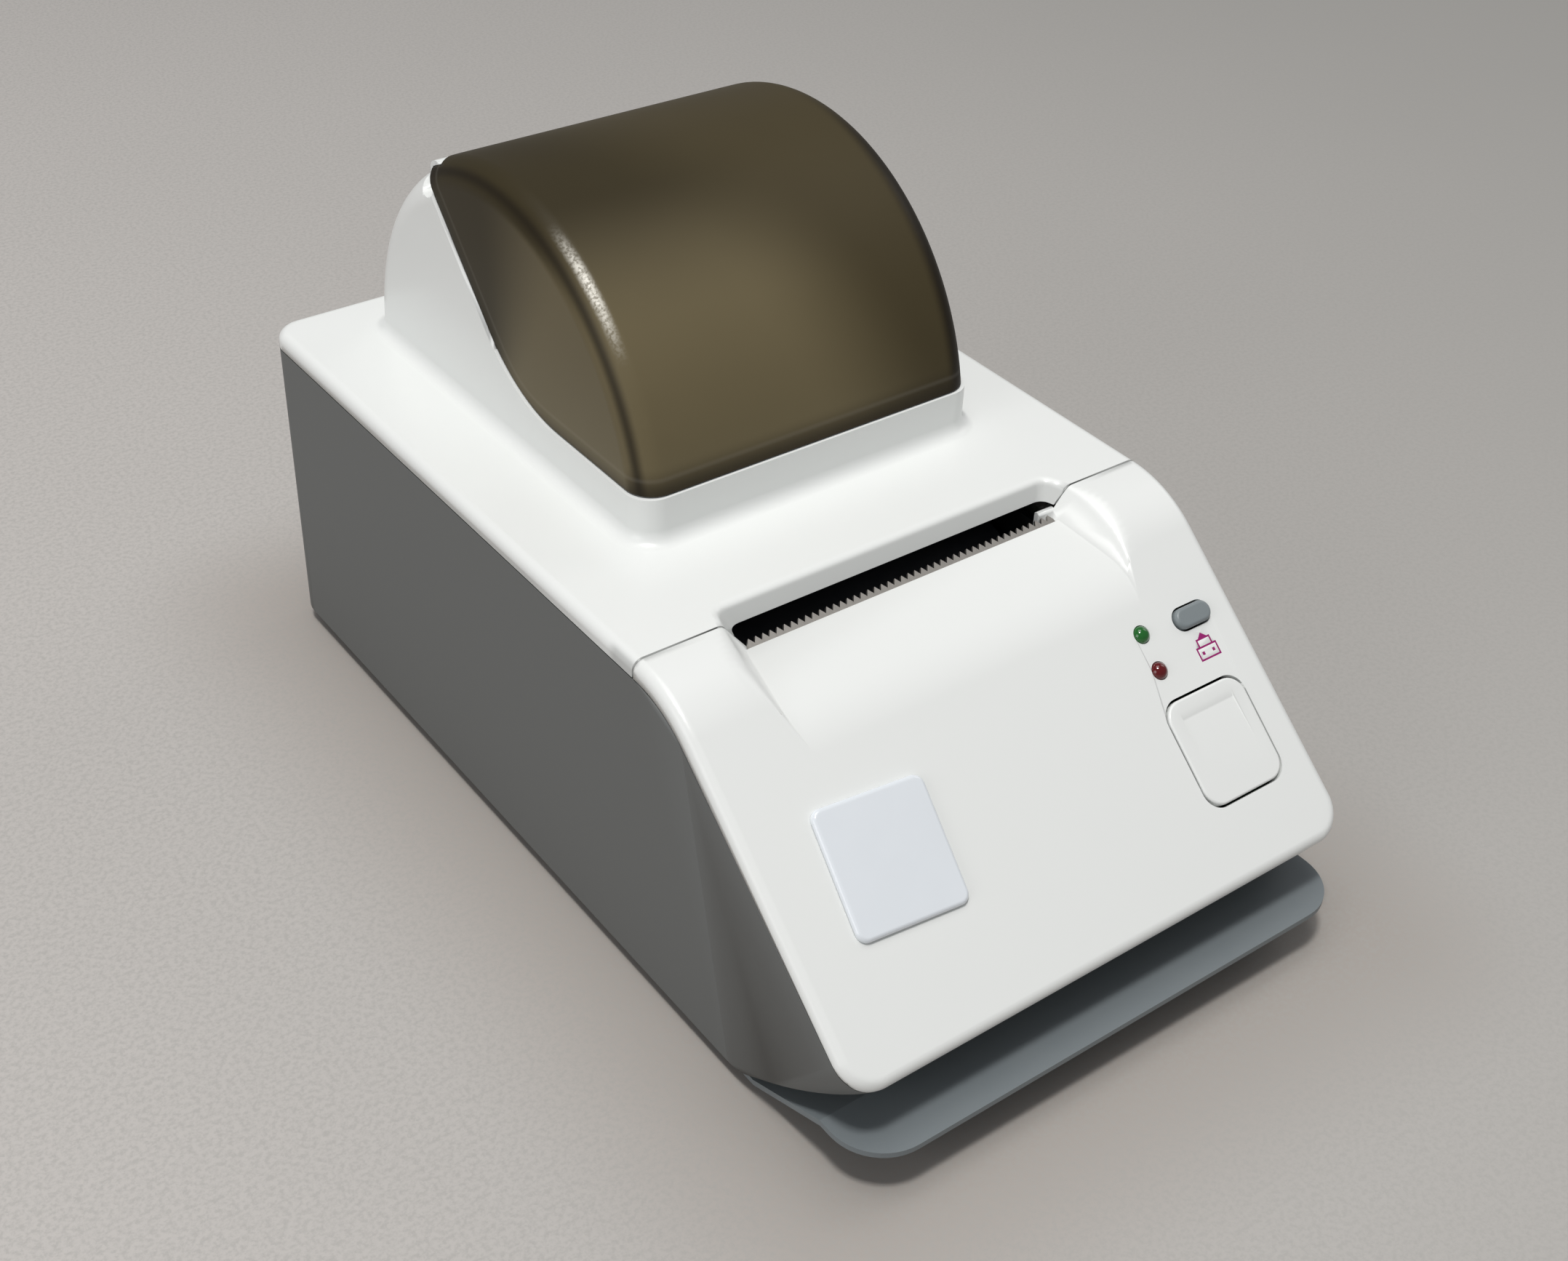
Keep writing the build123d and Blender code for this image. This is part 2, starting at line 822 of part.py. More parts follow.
with BuildPart() as front_fascia:
    add(body.part)
    add(prism(front_edge[:3] + [(front_back, front_edge[2][1]), (front_back, reach), (-reach, reach)],
              -reach, reach, [(front_edge[2], fascia_inner_radius + seam_gap)]), mode=Mode.INTERSECT)
    add(chute_walls.part)
    add(oval(button_plane, button_length + 2 * (button_gap + collar_width),
             button_width + 2 * (button_gap + collar_width), -collar_depth, -fascia_taper / 2))
    for x, along in post_spots:
        add(peg(slope_plane(x, along), post_radius, -key_board_depth, -fascia_taper / 2))
    for side in (-1, 1):
        low = key_x + side * (lug_x + frame_lug_width / 2) - frame_lug_width / 2
        add(lug(low, low + frame_lug_width))
    add(chute.part, mode=Mode.SUBTRACT)
    add(cheek.part, mode=Mode.SUBTRACT)
    add(mirror(cheek.part, about=Plane.YZ), mode=Mode.SUBTRACT)
    add(oval(button_plane, button_length + 2 * button_gap, button_width + 2 * button_gap,
             -reach, reach), mode=Mode.SUBTRACT)
    for x, along in post_spots:
        add(peg(slope_plane(x, along), post_screw_radius, -key_board_depth, -fascia_depth),
            mode=Mode.SUBTRACT)
    for tone, along in lamp_spots:
        add(peg(slope_plane(lamp_x, along), lamp_radius + lamp_hole_gap, -reach, reach), mode=Mode.SUBTRACT)
    add(bar(key_plane, key_hole_width, key_hole_length, -fascia_depth, reach, key_corner), mode=Mode.SUBTRACT)
    add(feed_mark.part, mode=Mode.SUBTRACT)
    add(rod(pin_y, pin_z, pin_radius, -reach, reach), mode=Mode.SUBTRACT)
    add(prism(tab_points, tab_inner_x, tab_outer_x, [(tab_points[2], tab_round), (tab_points[3], tab_round)]))
front_fascia.part.label = "front_fascia"
export_step(front_fascia.part, "parts/front_fascia.step")

# Grey case: an open tray with sockets at the back, board bosses and the base screw bosses
front_far = (chin_low_y - reach * cos(under) / 2, chin_low_z + reach * sin(under) / 2)
back_far = (rear + back_lean, deck_top + (deck_top - belly_height))
case_outer = [front_far, (belly_y, belly_height), (back_foot, belly_height), back_far]
case_inner = shifted(case_outer, case_wall)
board_bosses = [(x, y) for x in (-board_boss_x, board_boss_x) for y in (board_boss_front, board_boss_back)]
foot_spots = [(x, y) for x in (-foot_x, foot_x) for y in (foot_front_y, foot_rear_y)]

with BuildPart() as cavity:
    add(prism(case_inner, -reach, reach, [(case_inner[2], heel_radius - case_wall)]))
    add(leaning_block(case_wall), mode=Mode.INTERSECT)

with BuildPart() as lower_case:
    add(body.part)
    add(prism([(reach, -reach)] + case_edge[::-1] + [(lip_out[0], -reach)], -reach, reach,
              [(case_edge[2], fascia_inner_radius)]), mode=Mode.INTERSECT)
    add(cavity.part, mode=Mode.SUBTRACT)
    for x, y in board_bosses:
        add(peg(level_plane(x, y, 0), boss_radius, case_floor, main_board_z))
        add(peg(level_plane(x, y, 0), small_screw_radius, case_floor, main_board_z), mode=Mode.SUBTRACT)
    for x, width, height in ((inlet_x, inlet_width, inlet_height), (socket_x, socket_width, socket_height)):
        add(bar(level_plane(x, rear, board_top), width + 2 * opening_gap, socket_depth, -opening_gap,
                height + opening_gap), mode=Mode.SUBTRACT)
    for x, y in foot_spots:
        add(peg(level_plane(x, y, 0), screw_radius, 0, case_floor), mode=Mode.SUBTRACT)
lower_case.part.label = "lower_case"
export_step(lower_case.part, "parts/lower_case.step")

# White deck with the plinth and hood of the roll bay
rise_far = reach
part_line = [
    (-reach, part_height),
    (part_rise_y, part_height),
    (part_rise_y + rise_far * cos(part_rise), part_height + rise_far * sin(part_rise)),
]
hood_line = shifted(part_line, -part_gap)
hood_region = hood_line + [(hood_line[2][0], deck_bottom), (-reach, deck_bottom)]
cover_region = part_line + [(-reach, part_line[2][1])]

with BuildPart() as plinth:
    add(bar(level_plane(0, bay_y - plinth_reach / 2, 0), 2 * hood_half_width, plinth_reach, deck_bottom,
            plinth_top))
    front_corners = plinth.edges().filter_by(Axis.Z).group_by(Axis.Y)[0]
    fillet(front_corners, radius=plinth_corner)

with BuildPart() as hood:
    add(drum(hood_radius, hood_half_width, hood_shoulder))
    add(plinth.part)
    add(prism(hood_region, -reach, reach, [(hood_line[1], part_radius + part_gap)]), mode=Mode.INTERSECT)

with BuildPart() as hinge_space:
    add(rod(hinge_y, hinge_z, barrel_radius + hinge_clear, -reach, reach))
    for x_low in (-ear_outer_x, ear_inner_x):
        add(rod(hinge_y, hinge_z, reach, x_low, x_low + ear_outer_x - ear_inner_x), mode=Mode.SUBTRACT)

with BuildPart() as top_cover:
    add(body.part)
    add(prism([(deck_front, deck_bottom), (reach, deck_bottom), (reach, reach), (deck_front, reach)],
              -reach, reach), mode=Mode.INTERSECT)
    add(hood.part)
    deck_edges = top_cover.edges().filter_by(lambda e: abs(e.center().Z - deck_top) < 0.01)
    foot_edges = [e for e in deck_edges if abs(e.center().X) < hood_half_width + 0.1
                  and bay_y - plinth_reach - 0.1 < e.center().Y < bay_y + hood_radius + 0.1]
    fillet(foot_edges, radius=plinth_blend)
    add(hinge_space.part, mode=Mode.SUBTRACT)
    add(drum(bay_radius, bay_half_width, bay_shoulder), mode=Mode.SUBTRACT)
    for x_low in (-ear_outer_x, ear_inner_x):
        add(rod(hinge_y, hinge_z, ear_radius, x_low, x_low + ear_outer_x - ear_inner_x))
    add(rod(hinge_y, hinge_z, rod_radius, -rod_half_length, rod_half_length), mode=Mode.SUBTRACT)
    add(chute.part, mode=Mode.SUBTRACT)
    deck_edges = top_cover.edges().filter_by(lambda e: abs(e.center().Z - deck_top) < 0.01)
    rim_edges = [e for e in deck_edges if deck_front < e.center().Y < recess_y + 0.1
                 and abs(e.center().X) < chute_half_width]
    fillet(rim_edges, radius=rim_radius)
    groove_end = bay_half_width + groove_depth
    add(rod(bay_y, bay_z, spool_stub_radius + running_gap, -groove_end, groove_end), mode=Mode.SUBTRACT)
    add(bar(level_plane(0, bay_y, bay_z), 2 * groove_end, 2 * (spool_stub_radius + running_gap), 0, reach),
        mode=Mode.SUBTRACT)
top_cover.part.label = "top_cover"
export_step(top_cover.part, "parts/top_cover.step")

# Smoked roll cover with the hinge barrel
with BuildPart() as roll_cover:
    add(drum(cover_radius, cover_half_width, cover_shoulder))
    add(drum(cover_radius - cover_wall, cover_half_width - cover_wall, cover_shoulder - cover_wall),
        mode=Mode.SUBTRACT)
    add(prism(cover_region, -reach, reach, [(part_line[1], part_radius)]), mode=Mode.INTERSECT)
    notch_inner = barrel_half_length
    notch_outer = ear_outer_x + moving_gap
    for x_low in (-notch_outer, notch_inner):
        add(rod(hinge_y, hinge_z, ear_radius + notch_gap, x_low, x_low + notch_outer - notch_inner),
            mode=Mode.SUBTRACT)
    add(rod(hinge_y, hinge_z, barrel_radius, -barrel_half_length, barrel_half_length))
    add(rod(hinge_y, hinge_z, rod_radius + running_gap, -barrel_half_length, barrel_half_length),
        mode=Mode.SUBTRACT)
roll_cover.part.label = "roll_cover"
export_step(roll_cover.part, "parts/roll_cover.step")

with BuildPart() as hinge_rod:
    add(rod(hinge_y, hinge_z, rod_radius, -rod_half_length, rod_half_length))
hinge_rod.part.label = "hinge_rod"
export_step(hinge_rod.part, "parts/hinge_rod.step")

# Roll bay tub below the deck, with a slot for the paper
with BuildPart() as roll_bay:
    add(drum(bay_radius + bay_wall, bay_half_width + bay_wall, bay_shoulder + bay_wall))
    add(drum(bay_radius, bay_half_width, bay_shoulder), mode=Mode.SUBTRACT)
    add(bar(level_plane(0, 0, 0), 2 * reach, 2 * reach, -reach, deck_bottom), mode=Mode.INTERSECT)
    add(prism([(-reach, slot_low), (bay_y, slot_low), (bay_y, slot_high), (-reach, slot_high)],
              -slot_half_width, slot_half_width), mode=Mode.SUBTRACT)
roll_bay.part.label = "roll_bay"
export_step(roll_bay.part, "parts/roll_bay.step")

with BuildPart() as roll_spool:
    flange_end = bay_half_width - spool_end_gap
    add(rod(bay_y, bay_z, spool_core_radius, -flange_end, flange_end))
    for x_low in (-flange_end, flange_end - spool_flange_thickness):
        add(rod(bay_y, bay_z, spool_flange_radius, x_low, x_low + spool_flange_thickness))
    stub_end = groove_end - stub_end_gap
    add(rod(bay_y, bay_z, spool_stub_radius, -stub_end, stub_end))
roll_spool.part.label = "roll_spool"
export_step(roll_spool.part, "parts/roll_spool.step")

# Base plate: a pressed sheet that steps up under the chin, on four rubber feet
plate_line = [
    (front, plate_lip_top),
    (plate_step_y, plate_lip_top),
    (plate_bend_y, belly_height),
    (rear - plate_rear_inset, belly_height),
]
plate_half_width = deck_half_width + (seam_height - belly_height) * tan(radians(side_lean)) - plate_side_inset

with BuildPart() as base_plate:
    add(prism(plate_line + shifted(plate_line, -plate_thickness)[::-1], -plate_half_width, plate_half_width))
    plate_corners = [e for e in base_plate.edges().filter_by(Axis.Z)
                     if abs(e.length - plate_thickness) < 0.01]
    lip_corners = [e for e in plate_corners if e.center().Y < 0]
    fillet(lip_corners, radius=plate_corner_radius)
    for x, y in foot_spots:
        add(peg(level_plane(x, y, 0), screw_radius + moving_gap, 0, belly_height), mode=Mode.SUBTRACT)
base_plate.part.label = "base_plate"
export_step(base_plate.part, "parts/base_plate.step")

with BuildPart() as rubber_feet:
    for x, y in foot_spots:
        foot = level_plane(x, y, 0)
        add(peg(foot, foot_radius, 0, foot_height))
        add(peg(foot, screw_head_radius + moving_gap, 0, foot_height), mode=Mode.SUBTRACT)
rubber_feet.part.label = "rubber_feet"
export_step(rubber_feet.part, "parts/rubber_feet.step")


def screw(plane, shank_radius, shank_length, head_radius, head_height):
    """Pan-head screw: head above the plane with a cross slot, shank below it."""
    with BuildPart() as solid:
        add(peg(plane, head_radius, 0, head_height))
        head_face = solid.faces().sort_by(Axis(plane.origin, plane.z_dir))[-1]
        fillet(head_face.edges(), radius=head_height / 3)
        add(peg(plane, shank_radius, -shank_length, 0))
        slot_width = head_radius / 4
        for turn in (0, 90):
            with BuildSketch(plane.offset(head_height * 0.6)):
                Rectangle(head_radius * 1.2, slot_width, rotation=turn)
            extrude(amount=head_height, mode=Mode.SUBTRACT)
    return solid.part


def downward(x, y, z):
    """Plane that faces down at a point."""
    return Plane(origin=(x, y, z), x_dir=(1, 0, 0), z_dir=(0, 0, -1))


with BuildPart() as base_screws:
    for x, y in foot_spots:
        add(screw(downward(x, y, foot_height), screw_radius, case_floor - foot_height, screw_head_radius,
                  screw_head_height))
base_screws.part.label = "base_screws"
export_step(base_screws.part, "parts/base_screws.step")


def board_plane(across, along):
    """Plane on the top face of the key board below a place on the slope."""
    return slope_plane(across, along, key_board_depth)


# Lamps on leads, feed button with its plunger and switch
for tone, along in lamp_spots:
    spot = slope_plane(lamp_x, along)
    with BuildPart() as status_lamp:
        add(peg(spot, lamp_radius, -lamp_depth, lamp_proud))
        dome = status_lamp.faces().sort_by(Axis(spot.origin, spot.z_dir))[-1]
        fillet(dome.edges(), radius=lamp_dome)
        add(peg(spot, lamp_radius + lamp_flange, -lamp_depth, lamp_flange_thickness - lamp_depth))
        for side in (-1, 1):
            lead = slope_plane(lamp_x + side * lamp_lead_pitch, along)
            add(bar(lead, lamp_lead, lamp_lead, -key_board_depth, -lamp_depth))
    status_lamp.part.label = "lamp_" + tone
    export_step(status_lamp.part, "parts/lamp_" + tone + ".step")

flange_low = -collar_depth - moving_gap - button_flange_thickness
tact_top = tact_height - key_board_depth

with BuildPart() as feed_button:
    add(oval(button_plane, button_length, button_width, flange_low, button_proud))
    crown = feed_button.faces().sort_by(Axis(button_plane.origin, button_plane.z_dir))[-1]
    fillet(crown.edges(), radius=button_crown)
    add(oval(button_plane, button_length + 2 * button_flange, button_width + 2 * button_flange,
             flange_low, flange_low + button_flange_thickness))
feed_button.part.label = "feed_button"
export_step(feed_button.part, "parts/feed_button.step")

with BuildPart() as tact_plunger:
    add(peg(button_plane, tact_plunger_radius, tact_top - tact_engaged, flange_low))
tact_plunger.part.label = "tact_plunger"
export_step(tact_plunger.part, "parts/tact_plunger.step")

with BuildPart() as tact_switch:
    tact_spot = board_plane(button_x, button_along)
    add(bar(tact_spot, tact_size, tact_size, 0, tact_height))
    add(peg(tact_spot, tact_plunger_radius + slide_gap, tact_height - tact_well, tact_height),
        mode=Mode.SUBTRACT)
tact_switch.part.label = "tact_switch"
export_step(tact_switch.part, "parts/tact_switch.step")

# Power key on its pin, and the switch below it
scoop_points = [
    slope_point(scoop_along, -key_proud),
    slope_point(scoop_along + scoop_run, scoop_depth - key_proud),
    slope_point(scoop_along + scoop_length, -key_proud),
]

with BuildPart() as power_key:
    add(bar(key_plane, key_width, key_length, -key_thickness, key_proud, key_corner))
    key_face = power_key.faces().sort_by(Axis(key_plane.origin, key_plane.z_dir))[-1]
    fillet(key_face.edges(), radius=key_edge)
    lug_centre = key_width / 2 - key_lug_inset - key_lug_width / 2
    for side in (-1, 1):
        low = key_x + side * lug_centre - key_lug_width / 2
        add(rod(pin_y, pin_z, lug_radius, low, low + key_lug_width))
        add(bar(slope_plane(key_x + side * lug_centre, pin_along), key_lug_width, 2 * lug_radius,
                -pin_depth, -key_thickness))
    add(peg(slope_plane(key_x, presser_along), presser_radius, -presser_depth, -key_thickness))
    add(prism(scoop_points, key_x - scoop_half, key_x + scoop_half, [(scoop_points[1], scoop_corner)]),
        mode=Mode.SUBTRACT)
    add(rod(pin_y, pin_z, pin_radius + running_gap, -reach, reach), mode=Mode.SUBTRACT)
power_key.part.label = "power_key"
export_step(power_key.part, "parts/power_key.step")

with BuildPart() as key_pin:
    pin_half = lug_x + frame_lug_width
    add(rod(pin_y, pin_z, pin_radius, key_x - pin_half, key_x + pin_half))
key_pin.part.label = "key_pin"
export_step(key_pin.part, "parts/key_pin.step")

switch_top = switch_height - key_board_depth

with BuildPart() as power_switch:
    switch_spot = board_plane(key_x, presser_along)
    add(bar(switch_spot, switch_size, switch_size, 0, switch_height))
    add(bar(switch_spot, plunger_size + 2 * slide_gap, plunger_size + 2 * slide_gap,
            slide_gap, switch_height), mode=Mode.SUBTRACT)
power_switch.part.label = "power_switch"
export_step(power_switch.part, "parts/power_switch.step")

with BuildPart() as switch_plunger:
    add(bar(slope_plane(key_x, presser_along), plunger_size, plunger_size, switch_top - plunger_engaged,
            -presser_depth - plunger_top_gap))
switch_plunger.part.label = "switch_plunger"
export_step(switch_plunger.part, "parts/switch_plunger.step")

key_board_middle = (key_board_left + key_board_right) / 2

with BuildPart() as key_board:
    add(bar(board_plane(key_board_middle, (key_board_top_along + key_board_bottom_along) / 2),
            key_board_width, key_board_length, -board_thickness, 0))
    for x, along in post_spots:
        add(peg(board_plane(x, along), post_screw_radius, -board_thickness, 0), mode=Mode.SUBTRACT)
key_board.part.label = "key_board"
export_step(key_board.part, "parts/key_board.step")

with BuildPart() as key_board_screws:
    for x, along in post_spots:
        y, z = slope_point(along, key_board_depth + board_thickness)
        under_board = Plane(origin=(x, y, z), x_dir=(1, 0, 0), z_dir=(0, sin(slope), -cos(slope)))
        add(screw(under_board, post_screw_radius, board_thickness + post_radius * 2, small_head_radius,
                  small_head_height))
key_board_screws.part.label = "key_board_screws"
export_step(key_board_screws.part, "parts/key_board_screws.step")

# Blank domed badge
with BuildPart() as front_badge:
    badge_plane = slope_plane(badge_x, badge_along, 0, badge_turn)
    add(bar(badge_plane, badge_width, badge_length, 0, badge_thickness, badge_corner))
    badge_face = front_badge.faces().sort_by(Axis(badge_plane.origin, badge_plane.z_dir))[-1]
    fillet(badge_face.edges(), radius=badge_edge)
front_badge.part.label = "front_badge"
export_step(front_badge.part, "parts/front_badge.step")

# Print mechanism frame: two side plates, a floor strip and a cross bar behind the head
tip_run = recess_low_y - platen_y
tip_rise = recess_floor - platen_z
nip_turn = atan2(tip_rise, tip_run) + acos(platen_radius / hypot(tip_run, tip_rise))


def head_point(up, out):
    """Side-view point beside the platen: a height along the head face and a distance off the platen."""
    far = platen_radius + head_gap + out
    y = platen_y + far * cos(nip_turn) + up * sin(nip_turn)
    z = platen_z + far * sin(nip_turn) - up * cos(nip_turn)
    return (y, z)


def head_bar(low, high, inner, outer, half_width):
    """Bar across the machine between two heights and two distances off the platen."""
    corners = [(low, inner), (high, inner), (high, outer), (low, outer)]
    return prism([head_point(up, out) for up, out in corners], -half_width, half_width)


pivot_y, pivot_z = head_point(head_pivot_low, head_pivot_out)
plate_shape = [
    (mech_front, case_floor),
    (mech_foot_back, case_floor),
    (mech_foot_back, mech_foot_shoulder),
    (mech_back, mech_shoulder),
    (mech_back, mech_top),
    (mech_front + mech_corner, mech_top),
    (mech_front, mech_top - mech_corner),
]
ear_turn = radians(motor_ear_turn)
motor_ears = [(motor_y + far * cos(ear_turn), motor_z + far * sin(ear_turn))
              for far in (-motor_ear_offset, motor_ear_offset)]

with BuildPart() as mech_frame:
    for x_low in (-side_plate_outer, side_plate_inner):
        add(prism(plate_shape, x_low, x_low + side_plate_thickness))
    add(bar(level_plane(0, (mech_front + mech_foot_back) / 2, case_floor), 2 * side_plate_inner,
            mech_foot_back - mech_front, 0, mech_floor_thickness))
    add(head_bar(bar_low, bar_high, bar_out, bar_out + bar_thickness, side_plate_inner))
    add(rod(platen_y, platen_z, bush_radius, -reach, reach), mode=Mode.SUBTRACT)
    add(rod(pivot_y, pivot_z, head_rod_radius, -reach, reach), mode=Mode.SUBTRACT)
    add(rod(idler_y, idler_z, idler_pin_radius, 0, reach), mode=Mode.SUBTRACT)
    add(rod(motor_y, motor_z, motor_boss_radius + running_gap, 0, reach), mode=Mode.SUBTRACT)
    for x, y in frame_spots:
        add(peg(level_plane(x, y, 0), small_screw_radius, 0, case_floor + mech_floor_thickness),
            mode=Mode.SUBTRACT)
mech_frame.part.label = "mech_frame"
export_step(mech_frame.part, "parts/mech_frame.step")

with BuildPart() as frame_screws:
    for x, y in frame_spots:
        add(screw(level_plane(x, y, case_floor + mech_floor_thickness), small_screw_radius,
                  mech_floor_thickness, small_head_radius, small_head_height))
frame_screws.part.label = "frame_screws"
export_step(frame_screws.part, "parts/frame_screws.step")

# Platen, its bushes and the head that presses on it
with BuildPart() as platen_roller:
    add(rod(platen_y, platen_z, platen_radius, -platen_half_length, platen_half_length))
    fillet(platen_roller.edges().filter_by(GeomType.CIRCLE), radius=platen_edge)
    add(rod(platen_y, platen_z, shaft_radius, -platen_half_length, platen_half_length), mode=Mode.SUBTRACT)
platen_roller.part.label = "platen_roller"
export_step(platen_roller.part, "parts/platen_roller.step")

with BuildPart() as platen_shaft:
    add(rod(platen_y, platen_z, shaft_radius, -shaft_left, shaft_right))
    chamfer(platen_shaft.edges().filter_by(GeomType.CIRCLE), length=shaft_chamfer)
platen_shaft.part.label = "platen_shaft"
export_step(platen_shaft.part, "parts/platen_shaft.step")

with BuildPart() as platen_bushes:
    for side in (-1, 1):
        outer = side * side_plate_outer
        inner = side * side_plate_inner
        lip = outer + side * bush_flange_thickness
        add(rod(platen_y, platen_z, bush_radius, min(inner, outer), max(inner, outer)))
        add(rod(platen_y, platen_z, bush_radius + bush_flange, min(outer, lip), max(outer, lip)))
    add(rod(platen_y, platen_z, shaft_radius + running_gap, -reach, reach), mode=Mode.SUBTRACT)
platen_bushes.part.label = "platen_bushes"
export_step(platen_bushes.part, "parts/platen_bushes.step")

with BuildPart() as print_head:
    add(head_bar(head_low, head_high, line_thickness, line_thickness + head_thickness, head_half_width))
    for side in (-1, 1):
        low = side * (head_half_width - head_lug_width / 2) - head_lug_width / 2
        add(rod(pivot_y, pivot_z, head_lug_radius, low, low + head_lug_width))
        neck = [head_point(head_pivot_low, head_pivot_out - head_lug_radius / 2),
                head_point(head_low + head_lug_radius, head_pivot_out - head_lug_radius / 2),
                head_point(head_low + head_lug_radius, head_pivot_out + head_lug_radius / 2),
                head_point(head_pivot_low, head_pivot_out + head_lug_radius / 2)]
        add(prism(neck, low, low + head_lug_width))
    groove_count = int((head_high - head_low) / head_fin_pitch) - 1
    for index in range(groove_count):
        low = head_low + (index + 0.75) * head_fin_pitch
        outer = line_thickness + head_thickness
        if abs(low + head_fin_pitch / 4 - spring_high) > spring_radius + head_fin_pitch / 2:
            add(head_bar(low, low + head_fin_pitch / 2, outer - head_fin_depth, outer + head_fin_depth,
                         head_half_width - head_lug_width), mode=Mode.SUBTRACT)
    add(rod(pivot_y, pivot_z, head_rod_radius + running_gap, -reach, reach), mode=Mode.SUBTRACT)
print_head.part.label = "print_head"
export_step(print_head.part, "parts/print_head.step")

with BuildPart() as head_line:
    add(head_bar(-line_half_height, line_half_height, 0, line_thickness, head_half_width - line_end_inset))
head_line.part.label = "head_line"
export_step(head_line.part, "parts/head_line.step")

with BuildPart() as head_rod:
    add(rod(pivot_y, pivot_z, head_rod_radius, -side_plate_outer, side_plate_outer))
head_rod.part.label = "head_rod"
export_step(head_rod.part, "parts/head_rod.step")

spring_start = line_thickness + head_thickness
spring_length = bar_out - spring_start

for name, x in (("head_spring_left", -spring_x), ("head_spring_right", spring_x)):
    y, z = head_point(spring_high, spring_start + spring_wire)
    coil_height = spring_length - 2 * spring_wire
    with BuildPart() as head_spring:
        with BuildLine() as coil:
            Helix(pitch=coil_height / spring_turns, height=coil_height, radius=spring_radius - spring_wire,
                  center=(x, y, z), direction=(0, cos(nip_turn), sin(nip_turn)))
        with BuildSketch(Plane(origin=coil.line @ 0, z_dir=coil.line % 0)):
            Circle(spring_wire)
        sweep(path=coil.line)
    head_spring.part.label = name
    export_step(head_spring.part, "parts/" + name + ".step")

# Paper guide: a thin sheet from the bay slot that curls under the platen
guide_radius = platen_radius + guide_gap
guide_low_z = platen_z - guide_radius

with BuildPart() as paper_guide:
    with BuildSketch(side_plane(-guide_half_width)):
        with BuildLine():
            inner = CenterArc((platen_y, platen_z), guide_radius, -90 - guide_low_turn, guide_low_turn)
            outer = CenterArc((platen_y, platen_z), guide_radius + guide_thickness, -90 - guide_low_turn,
                              guide_low_turn)
            Line(inner @ 0, outer @ 0)
            Polyline(inner @ 1, (guide_back_y, guide_low_z), (guide_back_y, guide_low_z - guide_thickness),
                     outer @ 1)
        make_face()
    extrude(amount=2 * guide_half_width)
    for x_low in (-side_plate_inner, side_plate_inner - guide_tab):
        tab_plane = level_plane(x_low + guide_tab / 2, (platen_y + guide_back_y - guide_tab) / 2, guide_low_z)
        add(bar(tab_plane, guide_tab, guide_back_y - guide_tab - platen_y, -guide_thickness, 0))
paper_guide.part.label = "paper_guide"
export_step(paper_guide.part, "parts/paper_guide.step")

# Tear bar: thin toothed steel under the back edge of the chute floor
blade_plane = Plane(origin=(0, blade_tip_y, blade_tip_z), x_dir=(1, 0, 0),
                    z_dir=(0, -sin(blade_turn), cos(blade_turn)))
tooth_pitch = 2 * blade_half_length / blade_teeth
tooth_points = []
for index in range(blade_teeth):
    start = -blade_half_length + index * tooth_pitch
    tooth_points.append((start, -blade_tooth))
    tooth_points.append((start + tooth_pitch / 2, 0))
tooth_points.append((blade_half_length, -blade_tooth))

with BuildPart() as tear_bar:
    with BuildSketch(blade_plane):
        with BuildLine():
            Polyline(*tooth_points, (blade_half_length, -blade_length), (-blade_half_length, -blade_length),
                     close=True)
        make_face()
    extrude(amount=-blade_thickness)
tear_bar.part.label = "tear_bar"
export_step(tear_bar.part, "parts/tear_bar.step")


def involute(turn):
    """Involute function of an angle."""
    return tan(turn) - turn


def gear(teeth, y, z, phase, bore, x_low):
    """Spur gear across the machine with one tooth pointing at the phase angle."""
    pitch = gear_module * teeth / 2
    base = pitch * cos(pressure)
    root = pitch - gear_dedendum * gear_module
    tip = pitch + gear_addendum * gear_module
    half = pi / (2 * teeth) - gear_backlash / (2 * pitch) + involute(pressure)
    points = []
    for index in range(teeth):
        middle = radians(phase) + 2 * pi * index / teeth
        flank = []
        for step in range(4):
            radius = max(base, root) + (tip - max(base, root)) * step / 3
            flank.append((radius, half - involute(acos(min(base / radius, 1)))))
        rise = [(root, flank[0][1])] + flank
        for radius, turn in rise:
            points.append((radius * cos(middle - turn), radius * sin(middle - turn)))
        for radius, turn in rise[::-1]:
            points.append((radius * cos(middle + turn), radius * sin(middle + turn)))
    with BuildPart() as solid:
        with BuildSketch(side_plane(x_low, y, z)):
            with BuildLine():
                Polyline(*points, close=True)
            make_face()
            Circle(bore, mode=Mode.SUBTRACT)
        extrude(amount=gear_width)
    return solid.part


with BuildPart() as platen_gear:
    add(gear(platen_teeth, platen_y, platen_z, idler_direction, shaft_radius, outer_gear_x))
platen_gear.part.label = "platen_gear"
export_step(platen_gear.part, "parts/platen_gear.step")

with BuildPart() as idler_gear:
    bore = idler_pin_radius + running_gap
    gap_turn = 180 / idler_small_teeth
    add(gear(idler_large_teeth, idler_y, idler_z, motor_direction, bore, inner_gear_x))
    add(gear(idler_small_teeth, idler_y, idler_z, idler_direction + 180 + gap_turn, bore, outer_gear_x))
    add(rod(idler_y, idler_z, idler_hub, inner_gear_x, outer_gear_x))
    add(rod(idler_y, idler_z, bore, 0, reach), mode=Mode.SUBTRACT)
idler_gear.part.label = "idler_gear"
export_step(idler_gear.part, "parts/idler_gear.step")

